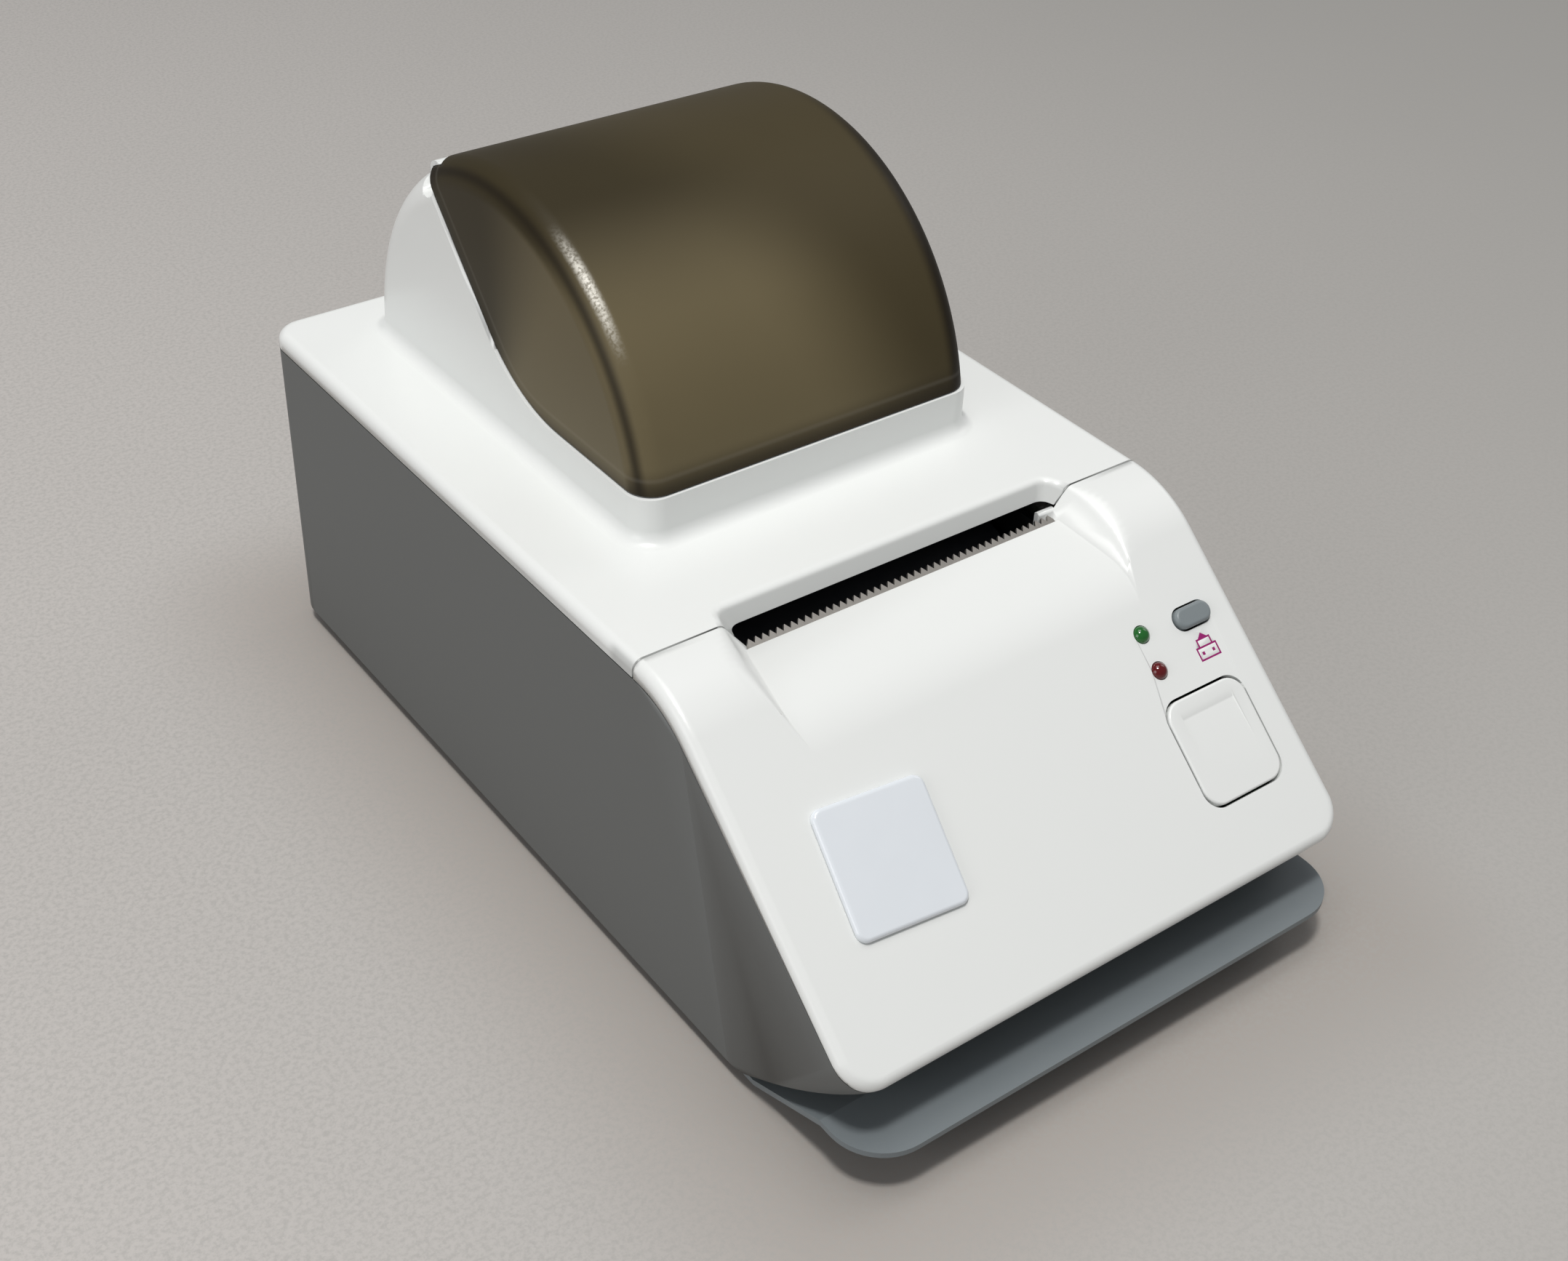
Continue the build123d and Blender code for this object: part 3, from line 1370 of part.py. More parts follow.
with BuildPart() as motor_pinion:
    pinion_gap = 180 / pinion_teeth
    add(gear(pinion_teeth, motor_y, motor_z, motor_direction + 180 + pinion_gap, motor_shaft_radius,
             inner_gear_x))
motor_pinion.part.label = "motor_pinion"
export_step(motor_pinion.part, "parts/motor_pinion.step")

with BuildPart() as idler_pin:
    pin_end = outer_gear_x + gear_width + moving_gap
    add(rod(idler_y, idler_z, idler_pin_radius, side_plate_inner, pin_end))
    add(rod(idler_y, idler_z, pin_head_radius, pin_end, pin_end + pin_head_thickness))
idler_pin.part.label = "idler_pin"
export_step(idler_pin.part, "parts/idler_pin.step")

flange_x = side_plate_inner - motor_ear_thickness

with BuildPart() as feed_motor:
    add(rod(motor_y, motor_z, motor_radius, side_plate_inner - motor_length, flange_x))
    fillet(feed_motor.faces().sort_by(Axis.X)[0].edges(), radius=motor_edge)
    add(rod(motor_y, motor_z, motor_radius, flange_x, side_plate_inner))
    for y, z in motor_ears:
        add(rod(y, z, motor_ear_radius, flange_x, side_plate_inner))
    aside_y = motor_ear_radius * sin(ear_turn)
    aside_z = motor_ear_radius * cos(ear_turn)
    low, high = motor_ears
    add(prism([(low[0] + aside_y, low[1] - aside_z), (high[0] + aside_y, high[1] - aside_z),
               (high[0] - aside_y, high[1] + aside_z), (low[0] - aside_y, low[1] + aside_z)],
              flange_x, side_plate_inner))
    add(rod(motor_y, motor_z, motor_boss_radius, side_plate_inner, side_plate_inner + motor_boss_height))
    add(rod(motor_y, motor_z, motor_shaft_radius + running_gap, 0, reach), mode=Mode.SUBTRACT)
feed_motor.part.label = "feed_motor"
export_step(feed_motor.part, "parts/feed_motor.step")

with BuildPart() as motor_shaft:
    add(rod(motor_y, motor_z, motor_shaft_radius, side_plate_inner - motor_length / 2,
            inner_gear_x + gear_width + moving_gap))
motor_shaft.part.label = "motor_shaft"
export_step(motor_shaft.part, "parts/motor_shaft.step")

# Main board with its sockets and parts
with BuildPart() as main_board:
    board_middle = (main_board_front + main_board_back) / 2
    add(bar(level_plane(0, board_middle, 0), 2 * main_board_half, main_board_back - main_board_front,
            main_board_z, board_top))
    for x, y in board_bosses:
        add(peg(level_plane(x, y, 0), small_screw_radius, main_board_z, board_top), mode=Mode.SUBTRACT)
main_board.part.label = "main_board"
export_step(main_board.part, "parts/main_board.step")

with BuildPart() as board_screws:
    for x, y in board_bosses:
        add(screw(level_plane(x, y, board_top), small_screw_radius, board_top - case_floor, small_head_radius,
                  small_head_height))
board_screws.part.label = "board_screws"
export_step(board_screws.part, "parts/board_screws.step")

with BuildPart() as board_chips:
    for x, back, size in chip_spots:
        add(bar(level_plane(x, main_board_front + back, board_top), size, size, 0, chip_height))
board_chips.part.label = "board_chips"
export_step(board_chips.part, "parts/board_chips.step")

with BuildPart() as board_capacitors:
    for side, back in capacitor_spots:
        x = side * (main_board_half - capacitor_radius - capacitor_edge)
        can = level_plane(x, main_board_front + back, board_top)
        add(peg(can, capacitor_radius, 0, capacitor_height))
        add(bar(can, capacitor_radius * 2 + moving_gap, capacitor_radius * 2 + moving_gap, 0, moving_gap * 3))
board_capacitors.part.label = "board_capacitors"
export_step(board_capacitors.part, "parts/board_capacitors.step")

socket_face = back_foot - socket_recess

with BuildPart() as dc_inlet:
    inlet_middle = level_plane(inlet_x, socket_face - inlet_depth / 2, board_top)
    add(bar(inlet_middle, inlet_width, inlet_depth, 0, inlet_height))
    back_view = Plane(origin=(inlet_x, socket_face, board_top + inlet_bore_rise), x_dir=(-1, 0, 0),
                      z_dir=(0, 1, 0))
    add(peg(back_view, inlet_bore, -inlet_bore_depth, reach), mode=Mode.SUBTRACT)
    add(peg(back_view, inlet_pin, -inlet_bore_depth, -socket_wall))
dc_inlet.part.label = "dc_inlet"
export_step(dc_inlet.part, "parts/dc_inlet.step")

with BuildPart() as data_socket:
    add(bar(level_plane(socket_x, socket_face - socket_depth / 2, board_top), socket_width, socket_depth, 0,
            socket_height))
    socket_view = Plane(origin=(socket_x, socket_face, board_top + socket_height / 2), x_dir=(-1, 0, 0),
                        z_dir=(0, 1, 0))
    add(bar(socket_view, socket_width - 2 * socket_wall, socket_height - 2 * socket_wall,
            socket_wall - socket_depth, reach), mode=Mode.SUBTRACT)
    add(bar(socket_view, tongue_width, socket_height, -tongue_depth, reach), mode=Mode.SUBTRACT)
data_socket.part.label = "data_socket"
export_step(data_socket.part, "parts/data_socket.step")
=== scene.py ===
import logging
import math
from dataclasses import dataclass
from enum import Enum
from functools import cached_property

import bmesh
import bpy
from mathutils import Euler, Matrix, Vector


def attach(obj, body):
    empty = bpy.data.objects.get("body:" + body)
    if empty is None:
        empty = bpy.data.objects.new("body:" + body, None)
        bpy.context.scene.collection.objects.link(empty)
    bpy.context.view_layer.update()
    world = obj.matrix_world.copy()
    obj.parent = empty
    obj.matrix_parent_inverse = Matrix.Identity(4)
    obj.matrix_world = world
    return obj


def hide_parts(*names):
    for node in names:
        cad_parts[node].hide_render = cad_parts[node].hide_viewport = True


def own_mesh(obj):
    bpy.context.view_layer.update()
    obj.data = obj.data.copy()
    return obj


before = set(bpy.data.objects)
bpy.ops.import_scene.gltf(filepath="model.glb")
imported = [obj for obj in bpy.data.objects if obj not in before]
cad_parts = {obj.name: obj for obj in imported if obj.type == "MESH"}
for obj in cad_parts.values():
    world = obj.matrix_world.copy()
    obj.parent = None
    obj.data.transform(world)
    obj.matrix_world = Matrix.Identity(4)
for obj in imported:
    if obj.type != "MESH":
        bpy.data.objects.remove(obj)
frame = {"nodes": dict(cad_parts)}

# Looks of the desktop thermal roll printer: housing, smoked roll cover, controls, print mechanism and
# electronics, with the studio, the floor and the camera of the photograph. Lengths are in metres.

log = logging.getLogger("printer")

Colour = tuple[float, float, float]
Range = tuple[float, float]
Sockets = dict[str, tuple[str, object]]

MM = 0.001
DECK_TOP = 61.2 * MM
SEAM_Y = -29.7 * MM
BOARD_TOP = 9.6 * MM
PLASTIC_IOR = 1.5

FLOAT = "NodeSocketFloat"
INTEGER = "NodeSocketInt"
VECTOR = "NodeSocketVector"
COLOUR = "NodeSocketColor"
NEUTRAL = (0.8, 0.8, 0.8, 1.0)

# Places of a colour mix's sockets, which share their names with those of the other kinds of mix
MIX_FACTOR, MIX_FIRST, MIX_SECOND, MIX_RESULT = 0, 6, 7, 2
# Place of the yes or no output of a random value
RANDOM_CHOICE = 3


class Grain(Enum):
    """How a surface feels close up, as the size of its grain in millimetres."""

    POLISHED = 0.9
    SATIN = 0.28
    SPARK = 0.22


class Sheen(Enum):
    """How a lacquer or moulding returns light, as its base roughness."""

    GLOSS = 0.16
    LUSTRE = 0.30
    SATIN = 0.38
    MATT = 0.56


def linear(red: float, green: float, blue: float) -> Colour:
    """Turns a colour read on screen into linear light by the sRGB curve.

    Args:
        red: The red channel, from 0 to 255.
        green: The green channel, from 0 to 255.
        blue: The blue channel, from 0 to 255.

    Returns:
        The three channels in linear light, from 0 to 1.
    """
    toe, slope, lift, power = 0.04045, 12.92, 0.055, 2.4

    def one(value: float) -> float:
        """Turns one channel."""
        part = value / 255.0
        return part / slope if part <= toe else ((part + lift) / (1.0 + lift)) ** power

    return (one(red), one(green), one(blue))


def add_inputs(tree: bpy.types.NodeTree, inputs: Sockets) -> None:
    """Adds named inputs to a node group.

    Args:
        tree: The group.
        inputs: Socket name to its kind and its default, or None for the kind's own default.
    """
    for label, (kind, value) in inputs.items():
        socket = tree.interface.new_socket(label, in_out="INPUT", socket_type=kind)
        if value is not None:
            socket.default_value = value


class Graph:
    """Small helper that adds and joins shader or geometry nodes in one tree."""

    def __init__(self, tree: bpy.types.NodeTree) -> None:
        """Keeps the tree.

        Args:
            tree: The node tree to fill.
        """
        self.tree = tree
        self.count = 0

    def add(self, kind: str, **settings: object) -> bpy.types.Node:
        """Adds a node and sets its plain properties.

        Args:
            kind: The node's type identifier.
            settings: Properties of the node, by name.

        Returns:
            The new node.
        """
        columns, width, height = 8, 220, 260
        node = self.tree.nodes.new(kind)
        node.location = (width * (self.count % columns), -height * (self.count // columns))
        self.count += 1
        for name, value in settings.items():
            setattr(node, name, value)
        return node

    def join(self, start: bpy.types.NodeSocket, end: bpy.types.NodeSocket) -> None:
        """Joins an output to an input."""
        self.tree.links.new(start, end)

    def feed(self, node: bpy.types.Node, values: dict[str | int, object]) -> None:
        """Sets a node's inputs.

        Args:
            node: The node to feed.
            values: Input name or place to a socket, a number, a vector or a colour.
        """
        for name, value in values.items():
            target = node.inputs[name]
            if isinstance(value, bpy.types.NodeSocket):
                self.join(value, target)
            elif target.type == "RGBA":
                target.default_value = (*value, 1.0)
            else:
                target.default_value = value

    def group(self, tree: bpy.types.NodeTree, values: dict[str, object]) -> bpy.types.NodeOutputs:
        """Adds a shared group with its own values.

        Args:
            tree: The shared group.
            values: Input name to a socket, a number or a colour.

        Returns:
            The group node's outputs.
        """
        node = self.add("ShaderNodeGroup", node_tree=tree)
        self.feed(node, values)
        return node.outputs

    def noise(
        self, place: bpy.types.NodeSocket, scale: object, detail: float, roughness: float = 0.5
    ) -> bpy.types.NodeSocket:
        """Adds a cloudy pattern.

        Args:
            place: The coordinates that it follows.
            scale: Its fineness, as a socket or a number.
            detail: How many finer layers it has.
            roughness: How strongly these layers show.

        Returns:
            The pattern's value, from 0 to 1.
        """
        node = self.add("ShaderNodeTexNoise")
        self.feed(node, {"Vector": place, "Scale": scale, "Detail": detail, "Roughness": roughness})
        return node.outputs["Fac"]

    def split(self, place: bpy.types.NodeSocket) -> bpy.types.NodeOutputs:
        """Splits a vector into its three parts.

        Args:
            place: The vector.

        Returns:
            The parts' sockets, which are X, Y and Z.
        """
        node = self.add("ShaderNodeSeparateXYZ")
        self.join(place, node.inputs["Vector"])
        return node.outputs

    def math(self, operation: str, first: object, second: object = 0.0) -> bpy.types.NodeSocket:
        """Adds a Math node on sockets or numbers.

        Args:
            operation: The Math node's operation.
            first: A socket or a number.
            second: A socket or a number.

        Returns:
            The node's value output.
        """
        node = self.add("ShaderNodeMath", operation=operation)
        self.feed(node, {0: first, 1: second})
        return node.outputs[0]

    def times(self, first: object, *others: object) -> bpy.types.NodeSocket:
        """Multiplies sockets or numbers.

        Args:
            first: A socket or a number.
            others: More of them.

        Returns:
            The product's socket.
        """
        product = first
        for other in others:
            product = self.math("MULTIPLY", product, other)
        return product

    def fade(self, value: bpy.types.NodeSocket, start: float, end: float) -> bpy.types.NodeSocket:
        """Adds a smooth step from 0 at one value to 1 at another.

        Args:
            value: The socket to judge.
            start: The value that gives 0.
            end: The value that gives 1.

        Returns:
            The step's socket.
        """
        node = self.add("ShaderNodeMapRange", interpolation_type="SMOOTHSTEP")
        flipped = start > end
        self.feed(node, {
            "Value": value,
            "From Min": end if flipped else start,
            "From Max": start if flipped else end,
            "To Min": 1.0 if flipped else 0.0,
            "To Max": 0.0 if flipped else 1.0,
        })
        return node.outputs["Result"]

    def band(self, value: bpy.types.NodeSocket, middle: float, reach: float) -> bpy.types.NodeSocket:
        """Adds a soft band that is 1 at a value and 0 a reach away from it.

        Args:
            value: The socket to judge.
            middle: The band's middle.
            reach: The distance at which it ends.

        Returns:
            The band's socket.
        """
        off = self.math("ABSOLUTE", self.math("SUBTRACT", value, middle))
        return self.fade(off, reach, 0.0)

    def blend(self, factor: object, first: object, second: object) -> bpy.types.NodeSocket:
        """Adds a colour mix of two colours or colour sockets.

        Args:
            factor: A socket or a number from 0 to 1.
            first: The colour at 0.
            second: The colour at 1.

        Returns:
            The mixed colour's socket.
        """
        node = self.add("ShaderNodeMix", data_type="RGBA")
        self.feed(node, {MIX_FACTOR: factor, MIX_FIRST: first, MIX_SECOND: second})
        return node.outputs[MIX_RESULT]


class GroupMaker:
    """Builds the shader groups that several finishes share, each once and when it is first asked for."""

    def start(
        self, name: str, inputs: Sockets, outputs: dict[str, str]
    ) -> tuple[bpy.types.NodeTree, Graph, bpy.types.NodeOutputs, bpy.types.Node]:
        """Opens a new group with its sockets.

        Args:
            name: The group's name.
            inputs: Socket name to its kind and its default.
            outputs: Socket name to its kind.

        Returns:
            The tree, its graph helper, its given values and its output node.
        """
        tree = bpy.data.node_groups.new(name, "ShaderNodeTree")
        add_inputs(tree, inputs)
        for label, kind in outputs.items():
            tree.interface.new_socket(label, in_out="OUTPUT", socket_type=kind)
        graph = Graph(tree)
        return tree, graph, graph.add("NodeGroupInput").outputs, graph.add("NodeGroupOutput")

    @cached_property
    def grain(self) -> bpy.types.NodeTree:
        """Moulded or sprayed grain: a fine height, and a slow drift of tone and roughness.

        Returns:
            The shared group.
        """
        tree, graph, given, sink = self.start(
            "moulded_grain",
            {
                "Vector": (VECTOR, None),
                "Grain Scale": (FLOAT, 3000.0),
                "Drift Scale": (FLOAT, 14.0),
                "Base": (COLOUR, NEUTRAL),
                "Drift": (FLOAT, 0.04),
                "Roughness": (FLOAT, 0.4),
                "Roughness Drift": (FLOAT, 0.05),
            },
            {"Color": COLOUR, "Roughness": FLOAT, "Height": FLOAT},
        )
        fine = graph.noise(given["Vector"], given["Grain Scale"], detail=3.0)
        slow = graph.noise(given["Vector"], given["Drift Scale"], detail=4.0)
        centred = graph.math("SUBTRACT", slow, 0.5)
        level = graph.math("ADD", graph.times(centred, given["Drift"]), 1.0)
        tone = graph.add("ShaderNodeVectorMath", operation="SCALE")
        graph.feed(tone, {0: given["Base"], "Scale": level})
        swing = graph.times(centred, given["Roughness Drift"])
        rough = graph.math("ADD", swing, given["Roughness"])
        graph.feed(sink, {"Color": tone.outputs["Vector"], "Roughness": rough, "Height": fine})
        return tree

    @cached_property
    def dust(self) -> bpy.types.NodeTree:
        """Thin settled dust and handling haze on faces that look up.

        Returns:
            The shared group.
        """
        tree, graph, given, sink = self.start(
            "settled_dust",
            {
                "Vector": (VECTOR, None),
                "Color": (COLOUR, NEUTRAL),
                "Dust": (COLOUR, (0.45, 0.43, 0.40, 1.0)),
                "Amount": (FLOAT, 0.05),
                "Scale": (FLOAT, 90.0),
            },
            {"Color": COLOUR},
        )
        spots = graph.noise(given["Vector"], given["Scale"], detail=6.0, roughness=0.7)
        facing = graph.split(graph.add("ShaderNodeNewGeometry").outputs["Normal"])
        upward = graph.math("MAXIMUM", facing["Z"], 0.0)
        mask = graph.times(spots, upward, given["Amount"])
        graph.feed(sink, {"Color": graph.blend(mask, given["Color"], given["Dust"])})
        return tree

    @cached_property
    def slot_shade(self) -> bpy.types.NodeTree:
        """Painted shade on the walls of the paper slot's recess, and on the walls of the seam in front of it.

        Returns:
            The shared group.
        """
        shallow, sunk = 0.15 * MM, 1.0 * MM
        recess_end, recess_full = 7.0 * MM, 4.5 * MM
        step_half = 0.1 * MM
        slot_end, cheek_start = 33.0 * MM, 33.6 * MM
        seam_edge, seam_core, seam_depth = 0.24 * MM, 0.17 * MM, 0.9
        tree, graph, given, sink = self.start(
            "slot_painted_shade",
            {
                "Vector": (VECTOR, None),
                "Color": (COLOUR, NEUTRAL),
                "Painted Shade": (COLOUR, (0.30, 0.31, 0.30, 1.0)),
                "Amount": (FLOAT, 0.46),
            },
            {"Color": COLOUR},
        )
        across, back, up = graph.split(given["Vector"])
        # Painted shade on the recess wall below the deck, behind the seam
        low = graph.fade(up, DECK_TOP - shallow, DECK_TOP - sunk)
        behind = graph.fade(back, SEAM_Y - step_half, SEAM_Y + step_half)
        before = graph.fade(back, SEAM_Y + recess_end, SEAM_Y + recess_full)
        recess = graph.times(low, behind, before, given["Amount"])
        # Painted shade in the seam's gap, beside the slot
        off = graph.math("ABSOLUTE", graph.math("SUBTRACT", back, SEAM_Y))
        outside = graph.fade(graph.math("ABSOLUTE", across), slot_end, cheek_start)
        seam = graph.times(graph.fade(off, seam_edge, seam_core), outside, seam_depth)
        mask = graph.math("MAXIMUM", recess, seam)
        graph.feed(sink, {"Color": graph.blend(mask, given["Color"], given["Painted Shade"])})
        return tree

    @cached_property
    def shell_bands(self) -> bpy.types.NodeTree:
        """Places on the smoked cover: the way to its parting edge, the turn round it and its shoulder.

        Returns:
            The shared group.
        """
        tree, graph, given, sink = self.start(
            "shell_bands",
            {
                "Vector": (VECTOR, None),
                "Axis Y": (FLOAT, 0.0),
                "Axis Z": (FLOAT, 0.0),
                "Edge Y": (FLOAT, 0.0),
                "Edge Z": (FLOAT, 0.0),
                "Edge Turn": (FLOAT, 0.8),
                "Flat Half Width": (FLOAT, 0.03),
                "Inner Radius": (FLOAT, 0.04),
                "Corner Blend": (FLOAT, 0.01),
            },
            {"Rim": FLOAT, "Turn": FLOAT, "Shoulder": FLOAT, "Across": FLOAT},
        )
        across, back, up = graph.split(given["Vector"])
        run = graph.math("SUBTRACT", back, given["Axis Y"])
        rise = graph.math("SUBTRACT", up, given["Axis Z"])
        turn = graph.math("ARCTAN2", graph.times(run, -1.0), rise)
        square = graph.math("ADD", graph.times(run, run), graph.times(rise, rise))
        out = graph.math("SUBTRACT", graph.math("SQRT", square), given["Inner Radius"])
        aside = graph.math("SUBTRACT", graph.math("ABSOLUTE", across), given["Flat Half Width"])
        shoulder = graph.math("ARCTAN2", out, aside)
        low = graph.math("SUBTRACT", up, given["Edge Z"])
        past = graph.math("SUBTRACT", back, given["Edge Y"])
        tall = graph.times(low, graph.math("COSINE", given["Edge Turn"]))
        deep = graph.times(past, graph.math("SINE", given["Edge Turn"]))
        rim = graph.add("ShaderNodeMath", operation="SMOOTH_MIN")
        graph.feed(rim, {0: low, 1: graph.math("SUBTRACT", tall, deep), 2: given["Corner Blend"]})
        graph.feed(sink, {"Rim": rim.outputs[0], "Turn": turn, "Shoulder": shoulder, "Across": across})
        return tree


GROUPS = GroupMaker()


class Finish:
    """Common steps of every finish: the material, its object coordinates and its principled shader."""

    def begin(self, name: str) -> tuple[bpy.types.Material, Graph, bpy.types.Node, bpy.types.NodeSocket]:
        """Starts a material.

        Args:
            name: The material's name.

        Returns:
            The material, its graph, its principled shader and the object coordinates.
        """
        material = bpy.data.materials.new(name)
        material.use_nodes = True
        material.node_tree.nodes.clear()
        graph = Graph(material.node_tree)
        place = graph.add("ShaderNodeTexCoord")
        shader = graph.add("ShaderNodeBsdfPrincipled")
        output = graph.add("ShaderNodeOutputMaterial")
        graph.join(shader.outputs["BSDF"], output.inputs["Surface"])
        return material, graph, shader, place.outputs["Object"]

    def bump(
        self,
        graph: Graph,
        shader: bpy.types.Node,
        height: bpy.types.NodeSocket,
        strength: float,
        distance: float,
    ) -> None:
        """Feeds a height through a bump node into the shader's normal.

        Args:
            graph: The material's graph.
            shader: The principled shader.
            height: The height socket.
            strength: The bump's strength.
            distance: The bump's depth in metres.
        """
        node = graph.add("ShaderNodeBump")
        graph.feed(node, {"Strength": strength, "Distance": distance, "Height": height})
        graph.join(node.outputs["Normal"], shader.inputs["Normal"])


@dataclass(frozen=True)
class Moulding(Finish):
    """Injection-moulded plastic with its grain, slow tone drift and a little dust.

    The slot shade adds painted shade in the paper slot's recess and in the seam, which only the white shells
    have.
    """

    name: str
    colour: Colour
    sheen: Sheen
    grain: Grain
    depth: float = 0.004 * MM
    drift: float = 0.03
    dust: float = 0.05
    coat: float = 0.0
    slot_shade: bool = False
    coat_roughness: float = 0.08
    sheen_drift: float = 0.08
    relief: float = 0.25

    def build(self) -> bpy.types.Material:
        """Builds the material.

        Returns:
            The new material.
        """
        material, graph, shader, place = self.begin(self.name)
        grain = graph.group(GROUPS.grain, {
            "Vector": place,
            "Grain Scale": 1.0 / (self.grain.value * MM),
            "Base": self.colour,
            "Drift": self.drift,
            "Roughness": self.sheen.value,
            "Roughness Drift": self.sheen_drift,
        })
        dust = graph.group(GROUPS.dust, {"Vector": place, "Color": grain["Color"], "Amount": self.dust})
        tone = dust["Color"]
        # Painted shade in the slot's recess and seam, on the white shells only
        if self.slot_shade:
            tone = graph.group(GROUPS.slot_shade, {"Vector": place, "Color": tone})["Color"]
        graph.feed(shader, {"Base Color": tone, "Roughness": grain["Roughness"], "IOR": PLASTIC_IOR})
        if self.coat:
            graph.feed(shader, {"Coat Weight": self.coat, "Coat Roughness": self.coat_roughness})
        self.bump(graph, shader, grain["Height"], self.relief, self.depth)
        return material


@dataclass(frozen=True)
class ShellPlaces:
    """Places on the smoked cover, as sockets.

    They are the way to its parting edge, the turn round its drum, the angle of its shoulder, the place
    across it, and how far a point belongs to its flat flank.
    """

    rim: bpy.types.NodeSocket
    turn: bpy.types.NodeSocket
    shoulder: bpy.types.NodeSocket
    across: bpy.types.NodeSocket
    flat: bpy.types.NodeSocket


@dataclass(frozen=True)
class SmokedShell(Finish):
    """Smoked translucent plastic with a frosted skin, painted light and shade over its drum and flank,
    painted shade bands where its wall turns edge on, and a painted highlight.

    Places across and along the cover are lengths. The turn round its drum and the angle of its shoulder
    are in radians, a pair of which is a start and an end, or a middle and a reach where it is a band.
    """

    name: str
    shaded_top: Colour
    lit_front: Colour
    shade: Colour
    edge_shade: Colour
    glint: Colour
    axis: tuple[float, float] = (36.7 * MM, 60.9 * MM)
    parting: tuple[float, float] = (30.2 * MM, 69.3 * MM)
    parting_turn: float = math.radians(47.7)
    flat_half_width: float = 28.1 * MM
    inner_radius: float = 39.6 * MM
    corner_blend: float = 9.0 * MM
    # Painted light and shade over the drum and flank: a lit front, a shaded top and shade to the right
    drum_turns: Range = (0.24, 0.86)
    flank_turns: Range = (-0.1, 0.6)
    flank_shoulder: Range = (0.35, 0.0)
    shade_across: Range = (-8.0 * MM, 18.0 * MM)
    shade_slide: float = 16.0 * MM
    shade_turn: float = 0.7
    # Painted shade on the ridge, the right end and the lip, and a painted highlight trace along the lip
    ridge_band: Range = (0.62, 0.34)
    ridge_depth: float = 0.8
    end_across: Range = (27.2 * MM, 29.8 * MM)
    end_turns: Range = (-0.2, 0.5)
    lip_reach: float = 4.6 * MM
    lip_depth: float = 0.8
    flank_inset: float = 1.8 * MM
    trace_band: Range = (2.4 * MM, 0.6 * MM)
    trace_depth: float = 0.03
    # Painted highlight on the left shoulder
    glint_shoulder: Range = (1.18, 0.29)
    glint_turn: Range = (0.62, 0.30)
    glint_across: Range = (-20.0 * MM, -26.0 * MM)
    glint_depth: float = 0.74
    spark_scale: float = 2200.0
    spark_range: Range = (0.30, 0.62)
    spark_floor: float = 0.35
    drift_scale: float = 34.0
    drift: float = 0.16
    roughness: float = 0.46
    roughness_drift: float = 0.10
    clear: float = 0.06
    specular: float = 0.16
    ior: float = 1.49
    relief: float = 0.35
    depth: float = 0.006 * MM

    def places(self, graph: Graph, place: bpy.types.NodeSocket) -> ShellPlaces:
        """Adds the places on the cover that its tones follow.

        Args:
            graph: The material's graph.
            place: The object coordinates.

        Returns:
            The places.
        """
        bands = graph.group(GROUPS.shell_bands, {
            "Vector": place,
            "Axis Y": self.axis[0],
            "Axis Z": self.axis[1],
            "Edge Y": self.parting[0],
            "Edge Z": self.parting[1],
            "Edge Turn": self.parting_turn,
            "Flat Half Width": self.flat_half_width,
            "Inner Radius": self.inner_radius,
            "Corner Blend": self.corner_blend,
        })
        return ShellPlaces(*bands, graph.fade(bands["Shoulder"], *self.flank_shoulder))

    def drum(self, graph: Graph, on: ShellPlaces) -> bpy.types.NodeSocket:
        """Adds the painted light and shade of the drum and of the flat flank: a lit front, a shaded top and
        shade towards the right.

        Args:
            graph: The material's graph.
            on: The places on the cover.

        Returns:
            The tone.
        """
        tone = graph.blend(graph.fade(on.turn, *self.drum_turns), self.shaded_top, self.lit_front)
        slide = graph.times(graph.math("SUBTRACT", on.turn, self.shade_turn), self.shade_slide)
        away = graph.fade(graph.math("SUBTRACT", on.across, slide), *self.shade_across)
        tone = graph.blend(away, tone, self.shade)
        flank = graph.blend(graph.fade(on.turn, *self.flank_turns), self.shaded_top, self.lit_front)
        return graph.blend(on.flat, tone, flank)

    def edges(self, graph: Graph, on: ShellPlaces, tone: bpy.types.NodeSocket) -> bpy.types.NodeSocket:
        """Adds painted shade on the shoulder's ridge, the right end and the lip, and a faint painted
        highlight along the lip.

        Args:
            graph: The material's graph.
            on: The places on the cover.
            tone: The tone so far.

        Returns:
            The tone with its edges.
        """
        ridge = graph.times(graph.band(on.shoulder, *self.ridge_band), self.ridge_depth)
        tone = graph.blend(ridge, tone, self.edge_shade)
        end = graph.times(graph.fade(on.across, *self.end_across), graph.fade(on.turn, *self.end_turns))
        tone = graph.blend(end, tone, self.edge_shade)
        way = graph.math("ADD", on.rim, graph.times(on.flat, self.flank_inset))
        lip = graph.times(graph.fade(way, self.lip_reach, 0.0), self.lip_depth)
        tone = graph.blend(lip, tone, self.edge_shade)
        trace = graph.times(graph.band(on.rim, *self.trace_band), self.trace_depth)
        return graph.blend(trace, tone, self.glint)

